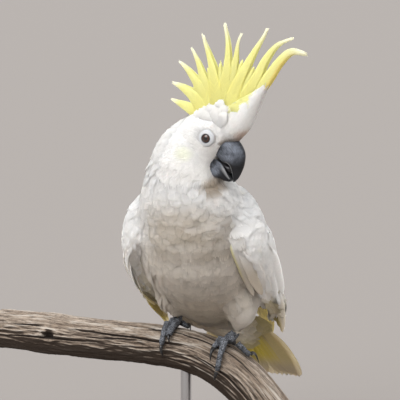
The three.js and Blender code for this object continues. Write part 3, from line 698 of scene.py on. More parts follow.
def colour_and_shade(points, under=0.0, body=1.0):
    """The plumage's colour at places on the bird: white with its few yellow and soiled parts, and
    painted shade on the breast, belly, throat, round the bill's root and in the fold by the left
    wing.
    """
    local = (points - bird_place) / MM
    color = np.broadcast_to(WHITE, points.shape).copy()
    axis_y, axis_z = np.array(BODY_LINE)[::-1, 1:].T

    def tint(share, with_color):
        share = np.broadcast_to(share, len(points))[:, None]
        color[:] = color * (1 - share) + np.array(with_color) * share

    x, y, z = local.T
    in_front = body * (1 - fade(y - np.interp(z, axis_z, axis_y), *BODY_FRONT))
    beside = fade(np.abs(x), *WHITE_SIDES[0]) * fade(z, *WHITE_SIDES[1])
    # Below the breast's top, the front of the body is painted warmer and darker: partly soiling,
    # partly painted shade where less light reaches from above.
    tint((1 - fade(z, *BODY_TINT_TOP)) * in_front * (1 - beside), BODY_SOIL_AND_SHADE)
    # The breast is painted darker in soft hollows, and so is the belly below it: soiling and painted
    # shade.
    hollow = 0.5 + 0.5 * np.clip(1.8 * lumps(local, (21, 21, 7), 41, 2), -1, 1)
    breast_foot, breast_top, breast_sides = BREAST_SPAN
    across_breast = 1 - fade(np.abs(x - BREAST_MIDDLE), *breast_sides)
    tint(fade(z, *breast_foot) * (1 - fade(z, *breast_top)) * across_breast * in_front * hollow,
         BREAST_SOIL_AND_SHADE)
    leg_side, leg_top, leg_back = PALE_LEG
    on_leg = fade(x, *leg_side) * (1 - fade(z, *leg_top)) * (1 - fade(y, *leg_back))
    flank = 0.8 * fade(np.abs(x - 5), *FLANK_SPAN)
    tint((1 - fade(z, *BELLY_TOP)) * in_front * (1 - flank) * (1 - 0.55 * on_leg), BELLY_SOIL_AND_SHADE)
    tint(0.20 * patch(points, *CHEEK_PATCH), LEMON)
    tint(0.8 * patch(points, *FOREHEAD_PATCH), FOREHEAD_STAIN)
    head_at = in_head(points)
    # A painted shadow on the feathers along the bill's root.
    off_bill = np.min([np.hypot(*(head_at[:, :2] - spot).T) for spot in bill_line], axis=0)
    tint(0.75 * (1 - fade(off_bill, *BILL_SPAN)) * (np.abs(head_at[:, 2]) < 14), BILL_ROOT_SHADOW)
    # Under the chin and on the throat below the cheek: a stain, and painted shade over it.
    tint(0.9 * patch(points, *CHIN_PATCH), CHIN_STAIN_AND_SHADE)
    off_throat = np.linalg.norm((local - THROAT) / THROAT_SIZES, axis=1)
    tint(0.75 * (1 - fade(off_throat, *THROAT_SPAN)), CHIN_STAIN_AND_SHADE)
    # Painted shade in the fold by the left wing.
    off_crease = np.min([np.linalg.norm(local - spot, axis=1) for spot in crease], axis=0)
    tint(0.6 * (1 - fade(off_crease, *CREASE_SPAN)), CREASE_SHADE)
    tint(under, UNDERWING)
    forth, up, _ = head_at.T
    tint(fade(up - np.interp(forth, FORELOCK_EDGE[0], FORELOCK_EDGE[1]), -1.5, 1.5)
         * fade(forth, 10, 14) * (1 - fade(forth, 28, 32)), CREST_YELLOW)
    return color


WING_SLOPE = math.radians(31)
wing_run = np.array((0, math.cos(WING_SLOPE), -math.sin(WING_SLOPE)))
wing_top = np.array((0, math.sin(WING_SLOPE), math.cos(WING_SLOPE)))
wing_root = bird_place + np.array((0, -72, 118)) * MM
in_wing = is_part(part_of_skin, "wing_left", "wing_right")
skin_normals = normals_of(skin.data)
side_of = np.sign(skin_points[:, 0] - bird_place[0])
inner_face = fade(-skin_normals[:, 0] * side_of, 0.1, 0.6)
along_wing = (skin_points - wing_root) @ wing_run / MM
from_middle = np.abs(skin_points[:, 0] - bird_place[0]) / MM
within = 1 - fade(from_middle, 69, 73) * (1 - fade(along_wing, 60, 90))
rise = (skin_points - wing_root) @ wing_top / MM
on_underside = in_wing * inner_face * within * fade(along_wing, 10, 60) * (1 - fade(rise, 6, 22))
low_edge = in_wing * fade(along_wing, 72, 86) * (1 - fade(rise, -27, -22))
underwing = spread_out(np.where(side_of > 0, np.maximum(0.3 * on_underside, low_edge), on_underside),
                       pairs, 4)

plumage, tree, surface = new_material(
    "plumage", roughness=0.82, Sheen_Weight=0.12, Sheen_Roughness=0.5, Specular_IOR_Level=0.2,
    Subsurface_Weight=0.8, Subsurface_Radius=(1.0, 0.93, 0.84), Subsurface_Scale=0.0022
)
surface.subsurface_method = "BURLEY"
own = put(tree, "Attribute", attribute_name="colour_and_shade").outputs["Color"]
root_to_tip = put(tree, "Attribute", attribute_name="reach").outputs["Fac"]
one_feather = put(tree, "Attribute", attribute_name="tone").outputs["Fac"]
place = put(tree, "TexCoord").outputs["Object"]
mottle = speckle(tree, place, 55, 4, Roughness=0.6)
# Each feather is painted darker towards its root: painted shade where the feathers over it lie, and
# its greyer down there too.
shade = product(tree, eased(tree, root_to_tip, 0.5, 0.95, 0.78, 1.02),
                eased(tree, mottle, 0.3, 0.7, 0.965, 1.02))
shade = product(tree, shade, one_feather)
tree.links.new(dimmed(tree, own, shade), surface.inputs["Base Color"])
add_relief(tree, surface, speckle(tree, place, 900, 3), 0.25, 0.0005)


def paint(piece, colors):
    """Keeps a colour for each point of a piece, for its material."""
    attribute = piece.data.attributes.new("colour_and_shade", "FLOAT_COLOR", "POINT")
    rgba = np.ones((len(colors), 4), np.float32)
    rgba[:, :3] = colors
    attribute.data.foreach_set("color", rgba.ravel())


skin.data.materials.append(plumage)
BODY_SOIL_AND_SHADE_SHARE = {"trunk": 1.0, "neck": 1.0, "leg_left": 0.75, "leg_right": 0.75}
on_body = spread_out(np.array([BODY_SOIL_AND_SHADE_SHARE.get(node, 0.0) for node in FLESH])[part_of_skin], pairs, 3)
paint(skin, colour_and_shade(skin_points, 0.6 * underwing, on_body))
note(skin, "reach", np.full(len(skin_points), 0.5))
note(skin, "tone", np.ones(len(skin_points)))
keep(skin, "white_plumage", *FLESH)


# ---- Plumage ----
# Overlapping contour feathers over the whole skin, each a thin cupped vane with a rounded, frayed
# tip. They grow from the bill backwards and down, and are smallest round the bill and the eyes.

# A feather's width and length on each part of the bird, in millimetres.
FEATHER_SIZE = {
    "trunk": (16, 31), "neck": (12, 27), "head": (5, 13), "crest_forelock": (6, 17),
    "wing_left": (13, 26), "wing_right": (13, 26), "leg_left": (7, 15), "leg_right": (7, 15),
}
BILL_ROOT = (27, -8)  # where the plumage of the head starts from, forward and up
BARE_ROUND_EYE = 7.8
CHEEK_LIFT = 1.5  # how far the cheek's feathers stand off the neck
FLANK_LIFT = 5.0  # and the right flank's off the body, over the wing's edge
CROWDING = 0.30  # the space between roots, by the feather's width
CLUMP = (26, 26, 13)  # the size of the soft clumps that the plumage parts into
RIPPLE = 10.5  # down the body, between its soft cross waves
COAT_ENDS = (42, 58)  # along the left wing and the right one, where the rows of coverts take over
LAST_COAT = 164  # along both wings
FORELOCK_BARE = 65  # up from the eyes, where the forelock's point is smooth
STATIONS = 6  # places along a feather's line over the skin
# The trunk has no feathers on the left leg's top, left of, in front of and below these x, y and z,
# or by the left wing's front strip: left of this x, between these places along the wing, and less
# than the second number off the first one in height.
LEG_TOP = (29, 6, 47)
STRIP_SIDE = 53
STRIP_SPAN = (-9, 8)
STRIP_RISE = (-6, 10)
# The raised flank's inner edge, low edge, top and back.
FLANK_EDGES = ((36, 52), (2, 24), (92, 116), (-5, 25))
draw = np.random.default_rng(7)

body_line = smooth_rows(BODY_LINE, 60) * MM + bird_place
body_run = unit(np.gradient(body_line, axis=0))
nearest_line = np.linalg.norm(skin_points[:, None] - body_line[None], axis=2).argmin(1)
skin_head = in_head(skin_points)
head_run = skin_points - head_point(*BILL_ROOT)
part_run = {
    "trunk": body_run[nearest_line],
    "neck": body_run[nearest_line],
    "head": unit(head_run),
    "crest_forelock": np.broadcast_to(0.30 * forward + 0.95 * upward, skin_points.shape),
    "leg_left": np.broadcast_to((0, 0.15, -1), skin_points.shape),
    "leg_right": np.broadcast_to((0, 0.15, -1), skin_points.shape),
    "wing_left": np.broadcast_to(wing_run, skin_points.shape),
    "wing_right": np.broadcast_to(wing_run, skin_points.shape),
}
lie = np.zeros_like(skin_points)
width = np.zeros(len(skin_points))
length = np.zeros(len(skin_points))
for index, node in enumerate(FLESH):
    here = part_of_skin == index
    lie[here] = part_run[node][here]
    width[here], length[here] = FEATHER_SIZE[node]
further = fade(along_wing, 0, 150) * in_wing
width += 6 * further
length += 26 * further
toward_bill = fade(skin_head[:, 0], -4, 14) * is_part(part_of_skin, "head")
width *= 1 - 0.45 * toward_bill
length *= 1 - 0.45 * toward_bill
lie = lie - skin_normals * (lie * skin_normals).sum(1, keepdims=True)
lie = spread_out(lie, pairs, 22)
lie = unit(lie - skin_normals * (lie * skin_normals).sum(1, keepdims=True))
width = spread_out(width, pairs, 18) * MM
length = spread_out(length, pairs, 18) * MM

skin.data.calc_loop_triangles()
triangles = read_out(skin.data.loop_triangles, "vertices", 3, np.int32)
loops = read_out(skin.data.loop_triangles, "loops", 3, np.int32)
triangle_uv = read_out(skin.data.uv_layers["OFBake"].data, "uv", 2)[loops]
skin_tree = BVHTree.FromPolygons(skin_points.tolist(), triangles.tolist())


def scatter(spacing):
    """Roots spread over the skin no closer than the spacing that is given for its points."""
    corners = skin_points[triangles]
    area = np.linalg.norm(
        np.cross(corners[:, 1] - corners[:, 0], corners[:, 2] - corners[:, 0]), axis=1) / 2
    wanted = area / spacing[triangles].mean(1) ** 2
    count = int(wanted.sum() * 4)
    chosen = draw.choice(len(triangles), count, p=wanted / wanted.sum())
    weights = draw.dirichlet((1, 1, 1), count)
    places = (corners[chosen] * weights[..., None]).sum(1)
    reach = (spacing[triangles[chosen]] * weights).sum(1)
    tree = KDTree(count)
    for index, place in enumerate(places):
        tree.insert(place, index)
    tree.balance()
    open_yet = np.ones(count, bool)
    kept = []
    for index in range(count):
        if not open_yet[index]:
            continue
        kept.append(index)
        for _, other, _ in tree.find_range(places[index], reach[index]):
            open_yet[other] = False
    return places[kept], chosen[kept], weights[kept]


def lay_out(roots, headings, lengths):
    """Lines that start at the roots and run with the lie of the coat over the skin."""
    place, heading = roots.copy(), headings.copy()
    near = [skin_tree.find_nearest(Vector(point))[2] for point in place]
    normal = unit(skin_normals[triangles[near]].mean(1))
    step = (lengths / (STATIONS - 1))[:, None]
    line, line_normals = [place], [normal]
    for _ in range(STATIONS - 1):
        aimed = place + heading * step
        found = [skin_tree.find_nearest(Vector(point)) for point in aimed]
        landed = np.array([hit[0] for hit in found])
        near = np.array([hit[2] for hit in found])
        moved = ((landed - place) * heading).sum(1, keepdims=True)
        strayed = np.linalg.norm(landed - aimed, axis=1, keepdims=True)
        on_skin = (moved > 0.55 * step) & (strayed < 0.9 * step)
        place = np.where(on_skin, landed, aimed)
        new_normal = unit(skin_normals[triangles[near]].mean(1))
        agree = (new_normal * normal).sum(1, keepdims=True) > 0.2
        normal = np.where(on_skin & agree, unit(new_normal + normal), normal)
        heading = np.where(on_skin, unit(heading + 0.5 * lie[triangles[near]].mean(1)), heading)
        heading = unit(heading - normal * (heading * normal).sum(1, keepdims=True))
        line.append(place)
        line_normals.append(normal)
    return np.stack(line, 1), np.stack(line_normals, 1)


def feathers(name, line, line_normals, widths, lift, make, tones, uv_places, colors):
    """Feathers along the given lines, each split into narrow barbs towards its end."""
    strips, rows, split, rounding, ragged, tip_width, spread, drift, rim, plain = make
    count, stations = line.shape[:2]
    t_row = np.linspace(0, 1, rows)
    edge = np.linspace(-1, 1, strips + 1)
    centre = (edge[:-1] + edge[1:]) / 2
    reach = (1 - rounding * centre**2) * draw.uniform(1 - ragged, 1, (count, strips))
    t_of = t_row[None, :, None] * reach[:, None, :]
    past = np.clip((t_row - split) / (1 - split), 0, 1)[None, :, None]
    half_strip = (1 - (1 - tip_width) * past**1.3) / strips
    wander = drift * draw.standard_normal((count, 1, strips)) * past**2
    strip_middle = centre * (1 + spread * past**2) + wander
    where = t_of * (stations - 1)
    cell = np.clip(where.astype(int), 0, stations - 2)
    part = (where - cell)[..., None]
    one = np.arange(count)[:, None, None]
    middle = line[one, cell] * (1 - part) + line[one, cell + 1] * part
    normal = unit(line_normals[one, cell] * (1 - part) + line_normals[one, cell + 1] * part)
    run = unit(np.gradient(line, axis=1))
    heading = unit(run[one, cell] * (1 - part) + run[one, cell + 1] * part)
    side = np.cross(heading, normal)
    twist = draw.normal(0, 0.03, count)[:, None, None, None]
    side = unit(side + normal * twist)
    outline = 0.35 + 0.65 * fade(t_of, -0.05, 0.45)
    half = widths[:, None, None] / 2 * outline
    edges = []
    for sign in (-1, 1):
        u = strip_middle + sign * half_strip
        rise = (lift[:, None, None] * (0.05 + 0.95 * t_of**0.6) - 0.3 * MM
                - 0.05 * half * u**2 - rim * MM * (u**4 + past**3))
        edges.append(middle + side * (half * u)[..., None] + normal * rise[..., None])
    points = np.stack(edges, axis=3).reshape(count, -1, 3)
    per_feather = points.shape[1]
    row, strip = np.meshgrid(np.arange(rows - 1), np.arange(strips), indexing="ij")
    a = (row * strips + strip).ravel() * 2
    quads = np.stack((a, a + 1, a + 1 + 2 * strips, a + 2 * strips), axis=-1)
    corners = (quads[None] + (np.arange(count) * per_feather)[:, None, None]).reshape(-1)
    mesh = bpy.data.meshes.new(name)
    mesh.vertices.add(count * per_feather)
    mesh.vertices.foreach_set("co", points.astype(np.float32).ravel())
    mesh.loops.add(len(corners))
    mesh.loops.foreach_set("vertex_index", corners.astype(np.int32))
    mesh.polygons.add(len(corners) // 4)
    mesh.polygons.foreach_set("loop_start", np.arange(0, len(corners), 4, dtype=np.int32))
    mesh.polygons.foreach_set("use_smooth", np.ones(len(corners) // 4, bool))
    mesh.update(calc_edges=True)
    mesh.materials.append(plumage)
    piece = bpy.data.objects.new(name, mesh)
    bpy.context.scene.collection.objects.link(piece)
    note(piece, "reach", 1 - plain * (1 - np.repeat(t_of.reshape(count, -1), 2, axis=1)))
    note(piece, "tone", np.repeat(tones, per_feather))
    if colors.ndim == 2:
        colors = np.repeat(colors[:, None], stations, axis=1)
    blended = colors[one, cell] * (1 - part) + colors[one, cell + 1] * part
    paint(piece, np.repeat(blended.reshape(-1, 3), 2, axis=0))
    across = np.broadcast_to(strip_middle, t_of.shape)
    spot = np.stack((across, t_of * 2 - 1), axis=-1).reshape(count, -1, 2) * 0.0014
    uv = (uv_places[:, None] + np.repeat(spot, 2, axis=1)).reshape(-1, 2)
    layer = mesh.uv_layers.new(name="OFBake")
    layer.data.foreach_set("uv", uv[corners].astype(np.float32).ravel())
    keep(piece, "white_plumage")


def reader(on_triangle, weights):
    """Makes a function that reads a value of the skin's points at places on its triangles."""
    def read(values):
        near = values[triangles[on_triangle]]
        return (near * weights.reshape(weights.shape + (1,) * (near.ndim - 2))).sum(1)
    return read


roots, root_triangle, root_weights = scatter(CROWDING * width)
at_roots = reader(root_triangle, root_weights)
root_width, root_length = at_roots(width), at_roots(length)
root_lie, root_normal = unit(at_roots(lie)), unit(at_roots(skin_normals))
root_depth = at_roots(coat_depth) * MM
root_under = 0.8 * at_roots(underwing)
root_uv = (triangle_uv[root_triangle] * root_weights[..., None]).sum(1)
root_part = part_of_skin[triangles[root_triangle][:, 0]]
root_head = in_head(roots)
from_eye = np.hypot(root_head[:, 0], root_head[:, 1])
by_eye = (from_eye < BARE_ROUND_EYE) & (np.abs(root_head[:, 2]) > 12)
covered = np.array([
    skin_tree.ray_cast(Vector(place + 1.2 * MM * normal), Vector(normal), 5 * MM)[0] is not None
    for place, normal in zip(roots, root_normal)
])
root_along = (roots - wing_root) @ wing_run / MM
root_out = root_normal[:, 0] * np.sign(roots[:, 0] - bird_place[0])
root_rise = (roots - wing_root) @ wing_top / MM
root_local = (roots - bird_place) / MM
on_left = roots[:, 0] > bird_place[0]
coat_end = np.where(on_left, *COAT_ENDS)
below_rows = on_left & (root_rise < 4) & (root_along < LAST_COAT)
under_blades = is_part(root_part, "wing_left", "wing_right") & (
    (root_along > coat_end) & (root_out > -0.2) & ~below_rows | (root_along > LAST_COAT))
over_leg = (is_part(root_part, "trunk") & (root_local[:, 0] > LEG_TOP[0])
            & (root_local[:, 1] < LEG_TOP[1]) & (root_local[:, 2] < LEG_TOP[2]))
on_point = is_part(root_part, "crest_forelock") & (root_head[:, 1] > FORELOCK_BARE)
by_strip = (is_part(root_part, "trunk") & (root_local[:, 0] > STRIP_SIDE)
            & (root_along > STRIP_SPAN[0]) & (root_along < STRIP_SPAN[1])
            & (np.abs(root_rise - STRIP_RISE[0]) < STRIP_RISE[1]))
shown = ~(by_eye | covered | under_blades | over_leg | on_point | by_strip)
clumped = lumps(roots / MM, CLUMP, 21, 2)
in_clumps = is_part(root_part, "trunk", "neck")
clumped = clumped * np.where(in_clumps, np.where(is_part(root_part, "neck"), 0.25, 0.5), 0.15)
swing = np.radians(draw.normal(0, 5, len(roots)) + 9 * lumps(roots / MM, CLUMP, 22, 2))[:, None]
root_lie = unit(root_lie + np.tan(swing) * np.cross(root_normal, root_lie))
root_body = at_roots(on_body)
# Feathers sunk in the clumps' hollows are painted up to a tenth darker, and those on their tops a
# little lighter: painted shade and light.
clump_hollow_shade = 1 + 0.10 * np.clip(clumped, -1, 0.2) * in_clumps


def colour_and_shade_along(line, under=0.0, body=1.0):
    """The plumage's colour at each place of the feathers' lines."""
    count, stations = line.shape[:2]
    under = np.repeat(np.broadcast_to(under, count), stations)
    body = np.repeat(np.broadcast_to(body, count), stations)
    return colour_and_shade(line.reshape(-1, 3), under, body).reshape(count, stations, 3)


# Each group of coat: its parts, then how its feathers are made: the strips of barbs across, the
# rows along, where the strips part, how round and how ragged the end is, how wide a strip ends,
# how far the strips spread, how far they stray, how far the rim sinks into those below, and how
# strongly each is painted darker towards its root, the painted shade under the next one's end.
COATS = {
    "coat_head": (("head",), (4, 4, 0.5, 0.18, 0.18, 0.4, 0.05, 0.08, 0.5, 0.45)),
    "coat_forelock": (("crest_forelock",), (5, 5, 0.5, 0.18, 0.18, 0.4, 0.05, 0.06, 0.5, 0.35)),
    "coat_neck": (("neck",), (9, 6, 0.76, 0.24, 0.09, 0.65, 0.0, 0.03, 0.35, 0.7)),
    "coat_trunk": (("trunk",), (9, 6, 0.76, 0.20, 0.07, 0.7, 0.0, 0.03, 0.35, 1.0)),
    "coat_legs": (("leg_left", "leg_right"), (7, 5, 0.7, 0.25, 0.12, 0.75, 0.0, 0.04, 0.5, 0.4)),
    "coat_wing_left": (("wing_left",), (9, 7, 0.80, 0.30, 0.04, 0.88, 0.0, 0.01, 0.5, 0.35)),
    "coat_wing_right": (("wing_right",), (9, 7, 0.80, 0.30, 0.04, 0.88, 0.0, 0.01, 0.5, 0.35)),
}
for name, (parts, make) in COATS.items():
    mine = shown & is_part(root_part, *parts)
    count = int(mine.sum())
    lengths = root_length[mine] * draw.uniform(0.8, 1.12, count)
    line, line_normals = lay_out(roots[mine], root_lie[mine], lengths)
    tips = (line[:, -1] - bird_place) / MM
    ripple = np.sin(2 * math.pi * tips[:, 2] / RIPPLE + 3 * lumps(tips, (40, 40, 25), 24, 2))
    ripple = 0.13 * ripple * in_clumps[mine]
    lift = root_depth[mine] * (1 + 0.30 * clumped[mine] + ripple) * draw.uniform(0.96, 1.04, count)
    if name.startswith("coat_wing"):
        lift = root_depth[mine] * (1 - 0.5 * fade(root_along[mine], 15, 58) * (root_out[mine] > -0.2))
    if name == "coat_trunk":
        at = root_local[mine]
        flank_side, flank_foot, flank_top, flank_back = FLANK_EDGES
        lift += (FLANK_LIFT * MM * fade(-at[:, 0], *flank_side) * fade(at[:, 2], *flank_foot)
                 * (1 - fade(at[:, 2], *flank_top)) * (1 - fade(at[:, 1], *flank_back)))
    if name == "coat_head":
        lift += CHEEK_LIFT * MM * fade(-root_head[mine, 1], 20, 36)
    feathers(name, line, line_normals, root_width[mine] * draw.uniform(0.9, 1.1, count), lift, make,
             draw.normal(1, 0.012, count) * clump_hollow_shade[mine], root_uv[mine],
             colour_and_shade_along(line, root_under[mine], root_body[mine]))

# The pointed tips that stand off the nape.
NAPE_SIZE = (6.5, 13)
NAPE_LIFT = (1.2, 3.0)
NAPE_BACK = -34  # how far back of the eyes it begins
NAPE_SPAN = (-66, 12)  # from its foot to its top
NAPE_SHARE = 0.30  # of the feathers there have a pointed one over them
at_nape = (is_part(root_part, "head", "neck")
           & (root_head[:, 0] < NAPE_BACK) & (root_head[:, 1] > NAPE_SPAN[0])
           & (root_head[:, 1] < NAPE_SPAN[1]) & (draw.random(len(roots)) < NAPE_SHARE))
count = int(at_nape.sum())
line, line_normals = lay_out(roots[at_nape], root_lie[at_nape],
                             NAPE_SIZE[1] * MM * draw.uniform(0.8, 1.2, count))
feathers("coat_nape", line, line_normals, NAPE_SIZE[0] * MM * draw.uniform(0.8, 1.2, count),
         root_depth[at_nape] + draw.uniform(*NAPE_LIFT, count) * MM,
         (5, 6, 0.55, 0.45, 0.15, 0.5, 0.0, 0.04, 0.0, 0.5), draw.normal(1, 0.012, count),
         root_uv[at_nape], colour_and_shade_along(line))

# The larger feathers that stand a little proud of the breast and belly in soft waves.
PROUD_SPACING = 4.9 * MM
PROUD_SIZE = (14, 21)
PROUD_LIFT = (0.35, 0.95)
PROUD_HEART = ((8, 44), (142, 38))  # the middle and half-size of the fullest patch, across and up
proud_roots, proud_triangle, proud_weights = scatter(np.full(len(skin_points), PROUD_SPACING))
at_proud = reader(proud_triangle, proud_weights)
proud_part = part_of_skin[triangles[proud_triangle][:, 0]]
proud_local = (proud_roots - bird_place) / MM
(heart_x, heart_half), (heart_z, heart_high) = PROUD_HEART
off_breast = np.hypot((proud_local[:, 0] - heart_x) / heart_half,
                      (proud_local[:, 2] - heart_z) / heart_high)
left_end = 38 + fade(proud_local[:, 2], 118, 170) * 30
proud = (is_part(proud_part, "trunk", "neck") & (proud_local[:, 1] < 30)
         & (proud_local[:, 0] < left_end) & (proud_local[:, 2] < 205)
         & (draw.random(len(proud_roots)) < 1 - 0.55 * fade(off_breast, 0.7, 1.3)))
count = int(proud.sum())
waves = lumps(proud_roots[proud] / MM, (26, 26, 10), 31, 2)
heading = unit(at_proud(lie)[proud])
turn = np.radians(draw.normal(0, 9, count) + 16 * waves)[:, None]
heading = unit(heading + np.tan(turn) * np.cross(unit(at_proud(skin_normals)[proud]), heading))
line, line_normals = lay_out(proud_roots[proud], heading,
                             PROUD_SIZE[1] * MM * draw.uniform(0.75, 1.15, count))
proud_lift = PROUD_LIFT[0] + (PROUD_LIFT[1] - PROUD_LIFT[0]) * (1 - fade(off_breast[proud], 0.5, 1.2))
proud_lift = (at_proud(coat_depth)[proud] + proud_lift * (0.7 + 0.9 * waves)) * MM
feathers("coat_breast", line, line_normals, PROUD_SIZE[0] * MM * draw.uniform(0.75, 1.2, count),
         proud_lift, (9, 7, 0.80, 0.22, 0.07, 0.8, 0.0, 0.03, 0.32, 1.0),
         draw.normal(1, 0.015, count),
         (triangle_uv[proud_triangle] * proud_weights[..., None]).sum(1)[proud],
         colour_and_shade_along(line, 0.0, at_proud(on_body)[proud]))


# ---- Crest ----
# Ten long narrow yellow feathers in two rows that fan out over the crown, curving forward to frayed
# pale tips, with shorter ones between them. Small rounded white feathers close over their bases.

# Each feather's line in the head's middle plane, forward and up: its root, its way, and its tip.
CREST = (
    ((13, 22), (24, 53), (36, 79), (43.5, 103), (53.5, 119.5), (71, 123.6)),
    ((12, 28), (20, 55), (25, 80), (27.5, 99), (35, 119), (49, 132.4)),
    ((7, 30), (6, 55), (8, 80), (12, 102.5), (16.5, 121.5), (17.5, 131)),
    ((2, 31), (-2, 58), (-5, 81), (-8.5, 98), (-9.5, 107), (-8.4, 115)),
    ((-2, 30), (-7, 52), (-12, 73), (-19.4, 94.4), (-26, 106.5), (-32.4, 115.5)),
    ((-7, 28), (-16, 46), (-28, 65.3), (-41, 81), (-48, 88.5), (-54.6, 96.2)),
    ((-11, 26), (-24, 40), (-37, 53.4), (-48, 65.6), (-54.5, 71.5), (-61.2, 77.3)),
    ((-14, 22), (-27, 34), (-40, 43.4), (-54, 50.6), (-62, 53.8), (-71.2, 56.4)),
    ((-17, 17), (-30, 25), (-43, 30.3), (-56, 32.6), (-64, 33), (-71.5, 32.9)),
    ((-19, 11), (-28, 13.5), (-37, 15.1), (-50, 15.4), (-58, 15.2), (-66.2, 14.6)),
)
CREST_STEPS = 22
CREST_ROOT_HALF = (8, 10.5, 10.5, 9.5, 10.5, 10.5, 10, 10.5, 10.5, 9.5)
CREST_NARROWING = (0.6, 1.3, 1.45, 1.4, 1.45, 1.4, 1.3, 1.15, 1.0, 0.95)
CREST_TIP_HALF = 1.25
CREST_ROWS_APART = 3.4
CREST_BASE = (0.87, 0.82, 0.27)
CREST_PALE = (0.90, 0.885, 0.66)
CREST_ORANGE = (0.80, 0.50, 0.07)
# Where the white feathers over the crest's bases end: forward, up, and how far out to the side.
CROWN_TUFTS = (
    (-27, 20, 11), (-22, 25, 13), (-17, 29, 11), (-10, 34, 13), (-3, 42, 9), (5, 40, 12),
    (12, 41, 10), (20, 46, 10), (27, 57, 7), (-1, 35, 16), (-14, 26, 17), (10, 34, 16),
)
TUFT_FEATHERS = 7
VANE_COLUMNS = 7
SHAFT_HEIGHT = 0.22 * MM  # over the vane
SHAFT_HALF = 0.12  # its half-width, by the vane's

vane, tree, surface = new_material(
    "vane", roughness=0.7, Sheen_Weight=0.1, Sheen_Roughness=0.5, Specular_IOR_Level=0.22,
    Subsurface_Weight=0.8, Subsurface_Radius=(1.0, 0.93, 0.84), Subsurface_Scale=0.002
)
surface.subsurface_method = "BURLEY"
own = put(tree, "Attribute", attribute_name="colour_and_shade").outputs["Color"]
one_feather = put(tree, "Attribute", attribute_name="tone").outputs["Fac"]
barbs = put(tree, "Attribute", attribute_name="barbs").outputs["Vector"]
barb_lines = speckle(tree, drawn_out(tree, barbs, (1.3, 0.10, 1.0)), 1, 4, Roughness=0.62)
shade = product(tree, eased(tree, barb_lines, 0.3, 0.7, 0.90, 1.04), one_feather)
tree.links.new(dimmed(tree, own, shade), surface.inputs["Base Color"])
add_relief(tree, surface, barb_lines, 0.4, 0.0005)


def mixed(first, second, share):
    """The second colour over the first by a share, for whole arrays of shares."""
    share = np.asarray(share)[..., None]
    return np.asarray(first) * (1 - share) + np.asarray(second) * share


def blades(name, spines, faces, halves, thickness, arch, tops, unders, slot, replaced=(),
           ragged=0.0):
    """Long closed feathers, each a shaft with a vane on both sides, joined into one piece."""
    count, rows = spines.shape[:2]
    columns = VANE_COLUMNS
    u = np.linspace(-1, 1, columns)
    t = np.linspace(0, 1, rows)
    run = unit(np.gradient(spines, axis=1))
    side = unit(np.cross(run, np.broadcast_to(faces, spines.shape)))
    face = np.cross(side, run)
    half = halves[..., None] * u
    torn = ragged * draw.uniform(-1, 1, (count, 1, columns)) * fade(t, 0.72, 1)[None, :, None]
    middle = (spines[:, :, None] + side[:, :, None] * half[..., None]
              + run[:, :, None] * torn[..., None])
    height = arch * halves[..., None] * (1 - u**2) + SHAFT_HEIGHT * np.exp(-((u / SHAFT_HALF) ** 2))
    deep = thickness / 2 * (1 - 0.75 * u**2) * (1 - 0.5 * t[None, :, None])
    top = middle + face[:, :, None] * (height + deep)[..., None]
    under = middle + face[:, :, None] * (height - deep)[..., None]
    points = np.concatenate((top.reshape(count, -1, 3), under.reshape(count, -1, 3)), 1)
    row, column = np.meshgrid(np.arange(rows - 1), np.arange(columns - 1), indexing="ij")
    a = (row * columns + column).ravel()
    upper = np.stack((a, a + 1, a + 1 + columns, a + columns), -1)
    below = rows * columns
    lower = upper[:, (0, 3, 2, 1)] + below
    r = np.arange(rows - 1) * columns
    left_rim = np.stack((r + below, r, r + columns, r + columns + below), -1)
    e = r + columns - 1
    right_rim = np.stack((e, e + below, e + columns + below, e + columns), -1)
    c = np.arange(columns - 1)
    root_rim = np.stack((c + 1, c, c + below, c + 1 + below), -1)
    c = c + (rows - 1) * columns
    tip_rim = np.stack((c, c + 1, c + 1 + below, c + below), -1)
    one = np.concatenate((upper, lower, left_rim, right_rim, root_rim, tip_rim))
    per_feather = points.shape[1]
    faces_of_all = (one[None] + (np.arange(count) * per_feather)[:, None, None]).reshape(-1, 4)
    piece = mesh_piece(name, points.reshape(-1, 3), faces_of_all, vane, slot, replaced)
    shape = (count, rows, columns, 3)
    dyes = np.stack((np.broadcast_to(tops, shape), np.broadcast_to(unders, shape)), 1)
    paint(piece, dyes.reshape(-1, 3))
    note(piece, "tone", np.repeat(draw.normal(1, 0.012, count), per_feather))
    along = np.cumsum(np.linalg.norm(np.diff(spines, axis=1, prepend=spines[:, :1]), axis=2), 1)
    off = np.abs(half) / MM
    combed_at = np.stack(np.broadcast_arrays(
        along[..., None] / MM - 1.2 * off, off, np.arange(count)[:, None, None] * 7.3), -1)
    note_places(piece, "barbs", np.stack((combed_at, combed_at), 1))
    cells = math.ceil(math.sqrt(count))
    cell = np.stack((np.arange(count) % cells, np.arange(count) // cells), -1) / cells
    spot = np.empty((2, rows, columns, 2))
    spot[..., 0] = (0.27 + 0.2 * u)[None, None] + np.array((0, 0.46))[:, None, None]
    spot[..., 1] = (0.05 + 0.9 * t)[None, :, None]
    uv = (cell[:, None] + spot.reshape(-1, 2)[None] / cells).reshape(-1, 2)
    layer = piece.data.uv_layers.new(name="OFBake")
    layer.data.foreach_set("uv", uv[faces_of_all.ravel()].astype(np.float32).ravel())


